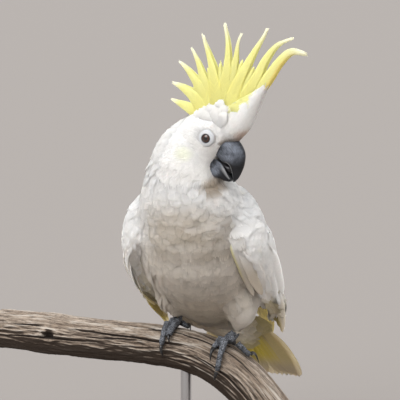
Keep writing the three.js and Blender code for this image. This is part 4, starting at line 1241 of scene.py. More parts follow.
crest_lines = [smooth_rows(way, CREST_STEPS) for way in CREST]
crest_shapes = list(zip(crest_lines, CREST_ROOT_HALF, CREST_NARROWING, [CREST_TIP_HALF] * 10))
for first, second in zip(crest_lines[:-1], crest_lines[1:]):
    between = (first + second) / 2
    reach = int(CREST_STEPS * 0.52)
    short = smooth_rows(between[:reach + 1:2], CREST_STEPS)
    crest_shapes.append((short, 8, 0.9, 0.8))
u = np.linspace(-1, 1, VANE_COLUMNS)
spines, faces, halves, tops = [], [], [], []
for index, (way, root_half, narrowing, tip_half) in enumerate(crest_shapes):
    for side in (1, -1):
        way_length = np.linalg.norm(np.diff(way, axis=0, prepend=way[:1]), axis=1).cumsum()
        share = way_length / way_length[-1]
        sway = draw.normal(0, 1.4, 2) * (1 if side > 0 else 0.35)
        bent = way + share[:, None] ** 2 * sway
        out = side * (0.7 + CREST_ROWS_APART * (1 - share) + 0.9 * (index % 3) * (1 - share))
        spines.append(head_point(bent[:, 0], bent[:, 1], out))
        faces.append(np.broadcast_to(side * leftward, (len(way), 3)))
        half = tip_half + (root_half - tip_half) * (1 - share) ** narrowing
        halves.append(half * MM)
        dyes = mixed(CREST_BASE, CREST_YELLOW, fade(share, 0.25, 0.6))
        if index < len(CREST):
            dyes = mixed(dyes, CREST_PALE, fade(share, 0.72, 1.0))
        dyes = np.repeat(dyes[:, None], VANE_COLUMNS, axis=1)
        if index == 0:
            front = fade(-side * u, 0.3, 1)[None] * fade(share, 0.3, 0.5)[:, None]
            dyes = mixed(dyes, CREST_ORANGE, 0.6 * front * (1 - fade(share, 0.7, 0.95))[:, None])
        tops.append(dyes)
tops = np.array(tops)
blades("crest_blades", np.array(spines), np.array(faces), np.array(halves), 0.7 * MM, 0.10, tops,
       tops * 0.94, "yellow_plumage", [f"crest_feather_{number}" for number in range(1, 11)],
       ragged=1.6 * MM)

line, line_normals, tuft_lifts = [], [], []
for forth, up, out in CROWN_TUFTS:
    for side in (1, -1):
        for layer in range(TUFT_FEATHERS):
            off = draw.normal(0, 1, 3) * (1.6, 0.7, 0.5)
            tip = np.array((forth, up, side * out)) + off
            toward = np.array((0.18 * forth + 2, -9, side * 15))
            root = tip + unit(toward - tip) * 18
            bulge = (root + tip) / 2 + np.array((0, 0, side * 2.2))
            share = np.linspace(0, 1, STATIONS)[:, None]
            way = (1 - share) ** 2 * root + 2 * share * (1 - share) * bulge + share**2 * tip
            line.append(head_point(way[:, 0], way[:, 1], way[:, 2]))
            facing = unit(np.array((0, 0.25, side)))
            line_normals.append(np.broadcast_to(facing @ head_frame, (STATIONS, 3)))
            tuft_lifts.append((0.5 + 0.34 * layer) * MM)
line, line_normals = np.array(line), np.array(line_normals)
count = len(line)
nearest = [skin_tree.find_nearest(Vector(point))[2] for point in line[:, 0]]
feathers("coat_crown", line, line_normals, draw.uniform(11, 14, count) * MM, np.array(tuft_lifts),
         (8, 7, 0.8, 0.45, 0.08, 0.85, 0.0, 0.02, 0.6, 0.35), draw.normal(1.02, 0.01, count),
         triangle_uv[nearest].mean(1), colour_and_shade(line[:, -1]))


# ---- Eyes ----
# Round dark eyes with a reddish brown iris, a black rim and a wet gloss. Each sits deep in a ring of
# bare bluish white skin, whose raised, finely wrinkled lids close in round it.

EYE_RADIUS = 6.8
EYE_SPREAD = 19.2
EYE_AIM = (0.16, 0.06, 1.0)  # forward, up and out
IRIS_RADIUS = 4.2
PUPIL_RADIUS = 2.3
# The lids' section: the distance from the eye's axis and the height over its middle.
LID_SECTION = (
    (4.7, 4.95), (4.85, 5.5), (5.2, 5.85), (5.6, 5.8), (6.1, 5.5), (6.7, 5.3), (7.5, 4.9),
    (8.1, 4.3), (8.8, 3.2), (8.8, 1.8), (7.6, 3.3), (5.8, 4.2),
)
LID_STEPS = 96
LID_MARGIN = 5.2 * MM  # from the eye's axis, where the wrinkled skin begins
IRIS_TONES = ((0.03, 0.009, 0.005, 1), (0.10, 0.032, 0.015, 1))
EYE_BLACK = (0.004, 0.003, 0.003, 1)
LID_TONES = ((0.66, 0.685, 0.72, 1), (0.82, 0.825, 0.83, 1))
LID_RIM = (0.20, 0.20, 0.22, 1)
LID_WRINKLES = 0.012  # how far the wrinkles go in and out, by the distance from the axis
LID_WIDE = 0.02  # added in front and behind, and taken off above and below
LID_HIGH = 0.05  # added above and below
RINGS_SCALE = 6  # the distance from the eye's axis at which its colour bands are given as 1

eye_gloss, tree, surface = new_material("eye_gloss", roughness=0.06, Coat_Weight=1.0,
                                        Coat_Roughness=0.02)
off_axis = put(tree, "Attribute", attribute_name="off_axis").outputs["Fac"]
place = put(tree, "TexCoord").outputs["Object"]
iris = laid_over(tree, speckle(tree, place, 2200, 3), *IRIS_TONES)
rings = tone_ramp(tree, eased(tree, off_axis, 0, RINGS_SCALE), (
    ((PUPIL_RADIUS - 0.1) / RINGS_SCALE, (0, 0, 0)), ((PUPIL_RADIUS + 0.2) / RINGS_SCALE, (1, 1, 1)),
    ((IRIS_RADIUS - 0.5) / RINGS_SCALE, (1, 1, 1)), ((IRIS_RADIUS + 0.1) / RINGS_SCALE, (0, 0, 0)),
))
tree.links.new(laid_over(tree, rings, EYE_BLACK, iris), surface.inputs["Base Color"])

eye_skin, tree, surface = new_material("eye_skin", roughness=0.55, Subsurface_Weight=0.4,
                                       Subsurface_Radius=(1.0, 0.6, 0.5), Subsurface_Scale=0.001)
surface.subsurface_method = "BURLEY"
place = put(tree, "TexCoord").outputs["Object"]
wrinkle = put(tree, "TexVoronoi", {"Vector": place, "Scale": 1500}, feature="DISTANCE_TO_EDGE")
off_axis = put(tree, "Attribute", attribute_name="off_axis").outputs["Fac"]
lid_tone = laid_over(tree, speckle(tree, place, 500, 3), *LID_TONES)
lid_color = laid_over(tree, eased(tree, off_axis, 4.9, 5.5), LID_RIM, lid_tone)
tree.links.new(lid_color, surface.inputs["Base Color"])
add_relief(tree, surface, wrinkle.outputs["Distance"], 0.5, 0.0004)

for side_name, side in (("left", 1), ("right", -1)):
    middle = head_point(0, 0, side * EYE_SPREAD)
    axis = unit(np.array((EYE_AIM[0], EYE_AIM[1], side * EYE_AIM[2]))) @ head_frame
    bpy.ops.object.select_all(action="DESELECT")
    bpy.ops.mesh.primitive_uv_sphere_add(
        segments=64, ring_count=48, radius=EYE_RADIUS * MM, location=middle,
        rotation=Vector(axis).to_track_quat("Z", "Y").to_euler(),
    )
    eyeball = bpy.context.object
    eyeball.name = f"eyeball_{side_name}"
    bpy.ops.object.transform_apply(location=True, rotation=True, scale=True)
    bpy.ops.object.shade_smooth()
    eyeball.data.materials.append(eye_gloss)
    from_middle = points_of(eyeball.data) - middle
    height = from_middle @ axis
    off = np.linalg.norm(from_middle - height[:, None] * axis, axis=1) / MM
    note(eyeball, "off_axis", np.where(height > 0, off, 9))
    keep(eyeball, "eye_gloss", f"eye_{side_name}")
    toward_bill = unit(forward - axis * (forward @ axis))
    crown_way = np.cross(axis, toward_bill)
    turn = np.linspace(0, 2 * math.pi, LID_STEPS, endpoint=False)
    section = np.array(LID_SECTION) * MM
    wrinkles = LID_WRINKLES * np.sin(turn * 23 + 2 * np.sin(turn * 3))
    pucker = 1 + wrinkles + LID_WIDE * np.cos(2 * turn)
    past_margin = section[None, :, 0] > LID_MARGIN
    reach = section[None, :, 0] * (1 + (pucker - 1)[:, None] * past_margin)
    oval = 1 + LID_HIGH * np.abs(np.sin(turn))[:, None] * past_margin
    ring_points = (middle + axis * section[None, :, 1:2]
                   + (np.cos(turn)[:, None] * reach)[..., None] * toward_bill
                   + (np.sin(turn)[:, None] * reach * oval)[..., None] * crown_way)
    steps, sides = ring_points.shape[:2]
    step, corner = np.meshgrid(np.arange(steps), np.arange(sides), indexing="ij")
    following = (step + 1) % steps * sides
    quads = np.stack((
        step * sides + corner, step * sides + (corner + 1) % sides,
        following + (corner + 1) % sides, following + corner), -1).reshape(-1, 4)
    lids = mesh_piece(f"eyelids_{side_name}", ring_points.reshape(-1, 3), quads, eye_skin,
                      "eye_skin")
    note(lids, "off_axis", np.tile(section[:, 0] / MM, steps))
    face_outward(lids)


# ---- Bill and tongue ----
# A deep hooked upper bill over a short scoop of a lower one, held a little open on a thick dark
# tongue. The horn is black and smooth, dusted with pale powder from the bird's own down; on its
# upper sides the pale powder also stands in for a painted highlight, and its cutting edges are
# pale from wear and a painted highlight.

# The middle of each section, forward and up, then its half-width and half-depth.
UPPER_BILL = (
    (8, -3, 10.5, 12), (20, -6.8, 11.6, 14), (28.5, -11, 10.8, 12.2), (33.6, -17, 8.6, 8.2),
    (36.0, -24, 6.1, 5.5), (36.9, -31, 3.6, 3.3), (36.6, -35, 1.9, 1.7), (35.9, -37.8, 0.5, 0.5),
)
LOWER_BILL = (
    (4, -31, 8.5, 9), (15, -31.5, 10.6, 10.5), (22, -33.4, 10.2, 8), (27.5, -35.8, 8.2, 5.2),
    (31.2, -37, 6, 3), (33, -37.3, 4.4, 1.5),
)
TONGUE = ((10, -27, 4, 3), (20, -26.8, 5, 4.3), (27, -26.8, 5.4, 4.9), (30.4, -27.2, 3.6, 3.4),
          (31.8, -27.5, 1.2, 1.2))
BILL_STEPS = 60
BILL_GROWTH = 45  # along the horn from its root to its tip
# Half a section, out to the side and up, by its half-width and half-depth; the mirror closes it.
UPPER_SECTION = (
    (0, 1.05), (0.16, 1.0), (0.36, 0.92), (0.58, 0.79), (0.78, 0.60), (0.93, 0.34), (1.0, 0.04),
    (0.99, -0.28), (0.95, -0.58), (0.88, -0.86), (0.83, -0.90), (0.77, -0.82), (0.66, -0.48),
    (0.42, -0.2), (0, -0.08),
)
LOWER_SECTION = (
    (0, 0.0), (0.42, 0.1), (0.68, 0.42), (0.79, 0.80), (0.84, 0.98), (0.90, 1.0), (0.95, 0.86),
    (1.0, 0.45), (1.0, 0.0), (0.94, -0.36), (0.80, -0.66), (0.58, -0.86), (0.32, -0.97), (0, -1.0),
)
ROUND_SECTION = tuple(
    (math.sin(math.pi * step / 10), math.cos(math.pi * step / 10)) for step in range(11)
)
CUTTING_EDGE = {"bill_upper": (9, 10, 11), "bill_lower": (4, 5, 6)}  # corners of the section
# The dark horn, its pale powder and painted highlight, and its worn edge with a painted highlight.
BILL_COLORS = ((0.009, 0.0095, 0.012), (0.27, 0.30, 0.36), (0.42, 0.43, 0.44))
TONGUE_COLORS = ((0.012, 0.011, 0.013), (0.06, 0.055, 0.06), (0.1, 0.1, 0.1))
# Along the horn from its root: where the pale edge is, and where the powder and highlight set in and
# end.
PALE_EDGE_SPAN = ((0.25, 0.4), (0.86, 0.98))
POWDER_AND_HIGHLIGHT_SPAN = ((0.0, 0.12), (0.26, 0.50))


def horn_material(name, dark, powder_and_highlight, edge_color, roughness, gloss):
    """Dark smooth horn with growth lines along it, pale powder in patches that is also a painted
    highlight, and a pale edge.
    """
    material, tree, surface = new_material(name, roughness=roughness, Coat_Weight=gloss,
                                           Coat_Roughness=0.25, Specular_IOR_Level=0.3)
    grown = put(tree, "Attribute", attribute_name="growth").outputs["Vector"]
    dust_and_highlight_share = put(tree, "Attribute", attribute_name="powder_and_highlight").outputs["Fac"]
    is_edge = put(tree, "Attribute", attribute_name="cutting_edge").outputs["Fac"]
    place = put(tree, "TexCoord").outputs["Object"]
    cloud = speckle(tree, place, 95, 3, Roughness=0.5)
    lines = speckle(tree, drawn_out(tree, grown, (0.25, 2.2, 1)), 1, 4)
    dust_and_highlight = product(tree, eased(tree, cloud, 0.34, 0.60), dust_and_highlight_share)
    dust_and_highlight = product(tree, dust_and_highlight, eased(tree, lines, 0.35, 0.7, 0.55, 1.0))
    body = laid_over(tree, dust_and_highlight, (*dark, 1), (*powder_and_highlight, 1))
    tree.links.new(laid_over(tree, is_edge, body, (*edge_color, 1)), surface.inputs["Base Color"])
    tree.links.new(eased(tree, dust_and_highlight, 0, 1, roughness, 0.75), surface.inputs["Roughness"])
    add_relief(tree, surface, lines, 0.3, 0.0003)
    return material


bill_horn = horn_material("bill_horn", *BILL_COLORS, roughness=0.34, gloss=0.14)
tongue_skin = horn_material("tongue_skin", *TONGUE_COLORS, roughness=0.3, gloss=0.5)

for name, solid, stations, section, material, slot in (
    ("bill_upper_horn", "bill_upper", UPPER_BILL, UPPER_SECTION, bill_horn, "bill_horn"),
    ("bill_lower_horn", "bill_lower", LOWER_BILL, LOWER_SECTION, bill_horn, "bill_horn"),
    ("tongue_club", "tongue", TONGUE, ROUND_SECTION, tongue_skin, "tongue_skin"),
):
    rows = smooth_rows(stations, BILL_STEPS)
    way = unit(np.gradient(rows[:, :2], axis=0))
    over = np.stack((-way[:, 1], way[:, 0]), -1)
    half_ring = np.array(section)
    ring = np.concatenate((half_ring, half_ring[-2:0:-1] * (-1, 1)))
    out = rows[:, 2:3] * ring[:, 0]
    rise = rows[:, 3:4] * ring[:, 1]
    points = head_point(rows[:, :1] + over[:, :1] * rise, rows[:, 1:2] + over[:, 1:] * rise, out)
    steps, sides = points.shape[:2]
    ends = points[[0, -1]].mean(1)
    corner = np.arange(sides)
    following = (corner + 1) % sides
    last_ring = (steps - 1) * sides
    root_cap = np.stack((corner, following, np.full(sides, steps * sides)), -1)
    tip_cap = np.stack((following + last_ring, corner + last_ring,
                        np.full(sides, steps * sides + 1)), -1)
    piece = mesh_piece(name, np.concatenate((points.reshape(-1, 3), ends)),
                       [*tube_faces(steps, sides), *root_cap, *tip_cap], material, slot, [solid])
    face_outward(piece)
    share = np.broadcast_to(np.linspace(0, 1, steps)[:, None], out.shape)
    # The cutting edges are pale: wear, and a painted highlight.
    edge_here = np.zeros(sides)
    for corner in CUTTING_EDGE.get(solid, ()):
        edge_here[[corner, -corner]] = 0.85
    edge_here = edge_here * fade(share, *PALE_EDGE_SPAN[0]) * (1 - fade(share, *PALE_EDGE_SPAN[1]))
    # Powder on the upper sides, which also stands in for a painted highlight there.
    powder_and_highlight = fade(share, *POWDER_AND_HIGHLIGHT_SPAN[0]) * (1 - 0.95 * fade(share, *POWDER_AND_HIGHLIGHT_SPAN[1]))
    powder_and_highlight = powder_and_highlight * (1 - 0.5 * fade(ring[:, 1], 0.8, 1.05)) * fade(ring[:, 1], -1.2, -0.1)
    note(piece, "cutting_edge", np.append(edge_here.ravel(), (0, 0)))
    note(piece, "powder_and_highlight", np.append(powder_and_highlight.ravel(), (0, 0)))
    growth = np.stack((share * BILL_GROWTH, out, rise), -1).reshape(-1, 3)
    note_places(piece, "growth", np.vstack((growth, (0, 0, 0), (BILL_GROWTH, 0, 0))))


# ---- Feet ----
# Strong grasping feet with two toes in front and two behind, covered in small round slate grey
# scales that are pale where they stand out, partly by a painted highlight, dark between them, and
# dusty in patches. The toes' tops are painted lighter and their undersides darker, as painted light
# and shade. The curved claws are black horn.

FOOT_CELL = 0.62 * MM
SCALE_SIZE = 2.1 * MM
SCALE_RELIEF = 0.75 * MM
TOES = ("toe_1", "toe_2", "toe_3", "toe_4")
SCALE_TONES = ((0.022, 0.023, 0.027, 1), (0.25, 0.27, 0.305, 1))  # between the scales and on them
CLAW_TONES = ((0.45, (0.010, 0.010, 0.011)), (0.75, (0.035, 0.034, 0.033)))

toe_skin, tree, surface = new_material("toe_skin", roughness=0.62)
place = put(tree, "TexCoord").outputs["Object"]
plates = put(tree, "TexVoronoi", {"Vector": place, "Scale": 620}, feature="DISTANCE_TO_EDGE")
fine_plates = put(tree, "TexVoronoi", {"Vector": place, "Scale": 1500},
                  feature="DISTANCE_TO_EDGE")
cloud = speckle(tree, place, 160, 5)
raised = eased(tree, plates.outputs["Distance"], 0.02, 0.24)
# The raised scales are paler: their own grey, brightened by a painted highlight.
skin_tone = laid_over(tree, raised, *SCALE_TONES)
up_look = put(tree, "SeparateXYZ", {"Vector": put(tree, "NewGeometry").outputs["Normal"]})
# Dusty in patches, with a painted highlight on the toes' tops and painted shade under them.
dust_and_top_light = product(tree, eased(tree, cloud, 0.35, 0.7, 0.55, 1.25),
                eased(tree, up_look.outputs["Z"], -0.5, 0.75, 0.35, 1.75))
tree.links.new(dimmed(tree, skin_tone, dust_and_top_light), surface.inputs["Base Color"])
relief = put(tree, "Math", {0: raised, 1: fine_plates.outputs["Distance"]}, operation="ADD")
add_relief(tree, surface, relief.outputs[0], 0.6, 0.0006)

claw_horn, tree, surface = new_material("claw_horn", roughness=0.28, Coat_Weight=0.4,
                                        Coat_Roughness=0.15)
place = put(tree, "TexCoord").outputs["Object"]
wear = speckle(tree, place, 420, 5)
tree.links.new(tone_ramp(tree, wear, CLAW_TONES), surface.inputs["Base Color"])
add_relief(tree, surface, wear, 0.2, 0.0003)

scales = bpy.data.textures.new("scales", "VORONOI")
scales.noise_scale = SCALE_SIZE
for side_name in ("left", "right"):
    parts = [f"foot_{side_name}"] + [f"{toe}_{side_name}" for toe in TOES]
    foot = fuse(parts, f"foot_skin_{side_name}", FOOT_CELL, 5)
    grow(foot, -CLOSE_UP)
    scaly = foot.modifiers.new("scaly", "DISPLACE")
    scaly.texture = scales
    scaly.strength = -SCALE_RELIEF
    scaly.mid_level = 0.35
    bpy.ops.object.modifier_apply(modifier="scaly")
    make_smooth(foot)
    foot.data.materials.append(toe_skin)
    keep(foot, "toe_skin", *parts)
    claws = [f"claw_{number}_{side_name}" for number in range(1, 5)]
    select_only(*[bare_copy(claw, f"{claw}_horn") for claw in claws])
    bpy.ops.object.join()
    horn = bpy.context.object
    horn.name = f"claws_horn_{side_name}"
    bpy.ops.object.mode_set(mode="EDIT")
    bpy.ops.mesh.select_all(action="SELECT")
    bpy.ops.mesh.tris_convert_to_quads(face_threshold=math.radians(60),
                                       shape_threshold=math.radians(60))
    bpy.ops.object.mode_set(mode="OBJECT")
    rounder = horn.modifiers.new("rounder", "SUBSURF")
    rounder.levels = rounder.render_levels = 3
    bpy.ops.object.modifier_apply(modifier="rounder")
    make_smooth(horn)
    horn.data.materials.append(claw_horn)
    keep(horn, "claw_horn", *claws)


# ---- Wings and tail ----
# Folded wings: rows of smooth white coverts close over the secondaries, and the long primaries come
# out from under them. The tail is twelve broad feathers. Their undersides are washed with yellow.

PRIMARIES = 10
PRIMARY_TIP = 318  # the longest one's, along the wing from its root
PRIMARY_STEP = 11  # from one's tip to the next one's
PRIMARY_ROOT = 112
# Across the wing, 0 at its top and 1 at its low edge: the longest one's root and tip, and the steps.
PRIMARY_ROOT_ACROSS = (0.86, 0.06)
PRIMARY_TIP_ACROSS = (0.62, 0.05)
PRIMARY_HALF = 9.5
WING_STEPS = 16
FLIGHT_THICKNESS = 0.55 * MM
SHINGLE = math.radians(3)  # how far each feather leans onto its neighbour
ROOT_SINK = 4.5  # how far a feather's root lies under the outline
# Along the wing in millimetres, and the angles up from straight out to its top and low edges.
WING_FAN = (
    (-9, 62, 5), (15, 71, -13), (40, 80, -10), (75, 87, -17), (105, 94, -20), (147, 101, -9),
    (181, 108, 2), (205, 113, 20), (230, 111, 23), (280, 111, 65), (318, 112, 92),
)
# Each row: feathers, along the wing at root and tip, across it at root from the top to the low
# edge, across at the tip, half-width, height over the wing's outline, how round the tip is, and how
# yellow the underside.
WING_ROWS = {
    "secondaries": (10, 78, (186, 214), (0.07, 0.98), (0.08, 0.84), 12, 0.4, 0.75, 0.5),
    "greater_coverts": (12, 48, (112, 128), (0.06, 1.0), (0.06, 1.0), 10.5, 0.9, 0.8, 0.0),
    "median_coverts": (13, 26, (76, 90), (0.06, 1.0), (0.06, 1.0), 9.5, 1.2, 0.85, 0.0),
    "edge_coverts": (3, 6, (116, 100), (0.93, 0.99), (0.92, 0.99), 5.5, 1.7, 0.5, 0.0),
}
LEFT_REACH = (0.63, 0.87)  # how far across and along the left wing's rows go, short of its front
# The left wing's front, from the body outwards: each feather's line along the wing, out and up from
# its root, the way it faces, its half-width and its height.
FRONT_FEATHERS = (
    (((-14, 46, 7), (-2, 54, -9), (22, 56, -18), (46, 57, -24), (68, 58, -29), (80, 60, -34)),
     (0.10, -0.98, -0.10), 5.0, 2.4),
    (((-8, 54, 3), (4, 61, -9), (28, 65, -19), (50, 66, -25), (68, 68, -30), (80, 69, -32)),
     (0.25, -0.95, -0.12), 6.2, 2.9),
    (((4, 65, -3), (14, 70, -9), (33, 73, -16), (56, 74, -22), (76, 75, -26), (92, 75, -31)),
     (0.45, -0.86, -0.15), 7.5, 2.7),
    (((14, 73, -1), (28, 76.5, -7), (44, 78, -13), (64, 79, -19), (88, 78.5, -23), (104, 77, -26)),
     (0.76, -0.62, -0.15), 8.0, 1.4),
    (((14, 78, 3), (36, 83, -2), (58, 83.5, -6), (82, 82, -10), (106, 80, -13), (122, 78.5, -15)),
     (0.93, -0.30, -0.20), 9.5, 1.6),
    (((8, 79, 15), (32, 83, 11), (58, 81.5, 6), (84, 79, 1), (110, 77.5, -3), (130, 75.5, -6)),
     (0.98, 0.03, 0.18), 11.0, 2.2),
    (((12, 77, 30), (36, 78.5, 23), (62, 74, 16), (88, 72, 10), (116, 69.5, 6), (140, 66.5, 3)),
     (0.84, 0.25, 0.45), 12.0, 2.4),
)
# The tips of the left wing's flight feathers under them, from the outer one inwards.
FLIGHT_TIPS = (
    (((90, 78, -17), (120, 74, -20), (150, 70, -22), (190, 62, -22), (225, 54, -23)),
     (0.62, -0.78, -0.1), 6.0, 4.2),
    (((90, 71, -17), (120, 68, -20), (150, 65, -21), (185, 59, -19), (215, 53, -20)),
     (0.50, -0.85, -0.15), 5.2, 3.4),
    (((85, 68, -19), (110, 66, -23), (140, 63, -22), (170, 59, -22), (195, 55, -21)),
     (0.35, -0.92, -0.2), 5.0, 2.6),
)
# The right wing is held a little open, so that the undersides of its flight feathers show.
OPEN_TIPS = (
    (((90, -77, -24), (120, -75.5, -30), (150, -75, -31), (180, -77, -28), (205, -79, -28)),
     (0.35, -0.88, -0.3), 3.8, 1.6),
    (((90, -73, -23), (120, -73, -27), (150, -74, -28), (180, -76, -27), (200, -76, -28)),
     (0.45, -0.85, -0.3), 5.5, 1.0),
    (((80, -69, -20), (110, -70, -25), (140, -71, -27), (165, -72, -27), (185, -73, -28)),
     (0.55, -0.80, -0.3), 5.0, 0.4),
    (((-8, -70, 27), (16, -73, 15), (40, -77, 4), (64, -82, -6), (90, -85, -15), (114, -86, -22)),
     (-0.35, -0.93, -0.1), 5.0, 1.6),
)
EDGE_YELLOW = (0.84, 0.78, 0.36)
OUTER_BEIGE = (0.80, 0.74, 0.62)
INNER_BEIGE = (0.62, 0.55, 0.44)
FLIGHT_OLIVE = (0.38, 0.30, 0.08)
VANE_YELLOW = (0.68, 0.56, 0.05)
VANE_TAUPE = (0.62, 0.53, 0.28)
VANE_BEIGE = (0.60, 0.51, 0.36)
FLIGHT_BROWN = (0.34, 0.26, 0.08)
UNDERTAIL_CREAM = (0.80, 0.75, 0.62)
UNDERTAIL_OLIVE = (0.55, 0.47, 0.22)


def on_wing(side, along, across):
    """The place on the wing's outline and the way it faces there, or None past its end."""
    stations, top_angles, low_angles = zip(*WING_FAN)
    top_angle = np.interp(along, stations, top_angles)
    low_angle = np.interp(along, stations, low_angles)
    angle = math.radians(top_angle + across * (low_angle - top_angle))
    outward = np.array((side, 0, 0))
    axis = (20 + along / 100) * outward - (6 + along / 10) * wing_top
    out = math.cos(angle) * outward + math.sin(angle) * wing_top
    start = wing_root + (along * wing_run + axis) * MM + out * 0.14
    hit, normal, _, _ = wing_trees[side].ray_cast(Vector(start), Vector(-out), 0.2)
    return (np.array(hit), np.array(normal)) if hit is not None else None


def wing_lines(side, ways):
    """Spines and the way they face for feathers given as lists of (along, across)."""
    spines, faces = [], []
    for way in ways:
        found = [on_wing(side, along, across) for along, across in way]
        first = next(index for index, hit in enumerate(found) if hit and found[index + 1])
        step = found[first + 1][0] - found[first][0]
        places = [found[first][0] - step * back for back in range(first, 0, -1)]
        normals = [found[first][1]] * first
        for hit in found[first:]:
            if hit is None or (normals and hit[1] @ normals[-1] < 0.3):
                hit = (2 * places[-1] - places[-2], normals[-1])
            places.append(hit[0])
            normals.append(hit[1])
        places = np.array(places)
        normals = np.array(normals)
        for _ in range(2):
            places[1:-1] = (places[:-2] + 2 * places[1:-1] + places[2:]) / 4
            normals[1:-1] = (normals[:-2] + 2 * normals[1:-1] + normals[2:]) / 4
        spines.append(places)
        faces.append(unit(normals))
    return np.array(spines), np.array(faces)


def vane_outline(share, half, roundness):
    """A feather's half-width along it: narrow at the root and round or pointed at the tip."""
    rise = 0.45 + 0.55 * fade(share, 0.0, 0.35)
    end = np.clip(1 - share, 0, 1) / (1 - 0.72 * roundness)
    close = np.sqrt(np.clip(1 - np.clip(1 - end, 0, 1) ** 2, 0, 1))
    return half * rise * np.maximum(close, 0.06)


wing_trees = {}
for side_name, side in (("left", 1), ("right", -1)):
    vertices, polygons = [], []
    for node in (f"wing_{side_name}", f"wing_primaries_{side_name}"):
        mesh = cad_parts[node].data
        start = len(vertices)
        vertices += [v.co for v in mesh.vertices]
        polygons += [tuple(start + index for index in face.vertices) for face in mesh.polygons]
    wing_trees[side] = BVHTree.FromPolygons(vertices, polygons)

share = np.linspace(0, 1, WING_STEPS)
u = np.linspace(-1, 1, VANE_COLUMNS)
for side_name, side in (("left", 1), ("right", -1)):
    ways, half_widths, heights, roundness, washes, shades = [], [], [], [], [], []
    reach_across, reach_along = LEFT_REACH if side > 0 else (1.0, 1.0)
    for index in range(PRIMARIES):
        tip = PRIMARY_TIP - PRIMARY_STEP * index
        along = PRIMARY_ROOT + (tip - PRIMARY_ROOT) * share
        root_across = PRIMARY_ROOT_ACROSS[0] - PRIMARY_ROOT_ACROSS[1] * index
        tip_across = PRIMARY_TIP_ACROSS[0] - PRIMARY_TIP_ACROSS[1] * index
        across = root_across * (1 - share) + tip_across * share
        across = across * reach_across
        ways.append(list(zip(along, across)))
        half_widths.append(PRIMARY_HALF)
        heights.append(-0.8 + 0.16 * index)
        roundness.append(0.55)
        washes.append(1.0)
        shades.append(1.0)
    for count, start, tips, root_span, tip_span, half, height, round_tip, wash in WING_ROWS.values():
        for index in range(count):
            part = index / (count - 1)
            tip = (tips[0] + (tips[1] - tips[0]) * part) * reach_along + draw.normal(0, 1.5)
            along = start + (tip - start) * share
            across_root = root_span[0] + (root_span[1] - root_span[0]) * part
            across_tip = tip_span[0] + (tip_span[1] - tip_span[0]) * part
            across = (across_root + (across_tip - across_root) * share) * reach_across
            ways.append(list(zip(along, across)))
            half_widths.append(half)
            heights.append(height + 0.12 * (index % 2))
            roundness.append(round_tip)
            washes.append(wash)
            shades.append(fade(part, 0.55, 0.85))
    spines, faces = wing_lines(side, ways)
    halves = np.array([
        vane_outline(share, half, end) for half, end in zip(half_widths, roundness)
    ]) * MM
    run = unit(np.gradient(spines, axis=1))
    across_wing = np.cross(run, faces)
    lean = math.tan(SHINGLE) * side
    raised = np.array(heights)[:, None] - ROOT_SINK * (1 - fade(share, 0.0, 0.6))
    spines = spines + faces * (raised[..., None] * MM)
    faces = unit(faces + lean * across_wing)
    shape = (len(spines), WING_STEPS, VANE_COLUMNS, 3)
    tops = np.broadcast_to(WHITE, shape)
    yellow = fade(share, 0.1, 0.5)[:, None] * fade(np.abs(u), 0.0, 0.6)[None]
    washed = 0.8 * np.array(washes)[:, None, None] * yellow
    unders = mixed(np.broadcast_to(VANE_TAUPE, shape), VANE_YELLOW, washed)
    unders = mixed(WHITE, unders, np.array(shades)[:, None, None])
    if side < 0:
        off_wing = spines - wing_root
        outer = (fade(-off_wing[..., 0] / MM, 68, 73)
                 * (1 - fade(off_wing @ wing_run / MM, 55, 80)))
        unders = mixed(unders, WHITE, outer[..., None])
    streak = 0.45 * fade(np.abs(u), 0.4, 0.1)[None] * fade(share, 0.2, 0.6)[:, None]
    unders[:PRIMARIES] = mixed(FLIGHT_BROWN, VANE_YELLOW, streak)
    blades(f"wing_feathers_{side_name}", spines, faces, halves, FLIGHT_THICKNESS, 0.04, tops,
           unders, "white_plumage", [f"wing_primaries_{side_name}"], ragged=0.8 * MM)

inner = fade(u, 0.1, 0.9)[None]
all_over = np.ones((1, VANE_COLUMNS))
LASTS = (2, 3)  # past the tip, so that the colour runs to it
# Each kind of edge feather's colours: how much of each lies where across it, and then, as shares of
# its length, from where to where the colour sets in and ebbs away.
EDGE_DYES = {
    "yellow_edge": ((INNER_BEIGE, 0.8 * all_over, (0.15, 0.6), LASTS),
                    (EDGE_YELLOW, 0.9 * inner, (0.05, 0.2), (0.45, 0.75))),
    "soiled": ((INNER_BEIGE, 0.85 * all_over, (0.15, 0.6), LASTS),),
    "half_soiled": ((INNER_BEIGE, 0.4 * all_over, (0.3, 0.9), LASTS),),
    "white": (),
    "beige": ((OUTER_BEIGE, all_over, (0.2, 0.5), LASTS), (FLIGHT_OLIVE, inner, (0.5, 0.8), LASTS),
              (VANE_BEIGE, 0.7 * all_over, (0.75, 0.95), LASTS)),
    "olive": ((FLIGHT_OLIVE, all_over, (0.1, 0.35), LASTS),),
    "taupe": ((VANE_TAUPE, all_over, (0.0, 0.1), LASTS),
              (FLIGHT_OLIVE, 0.5 * inner, (0.3, 0.7), LASTS)),
}
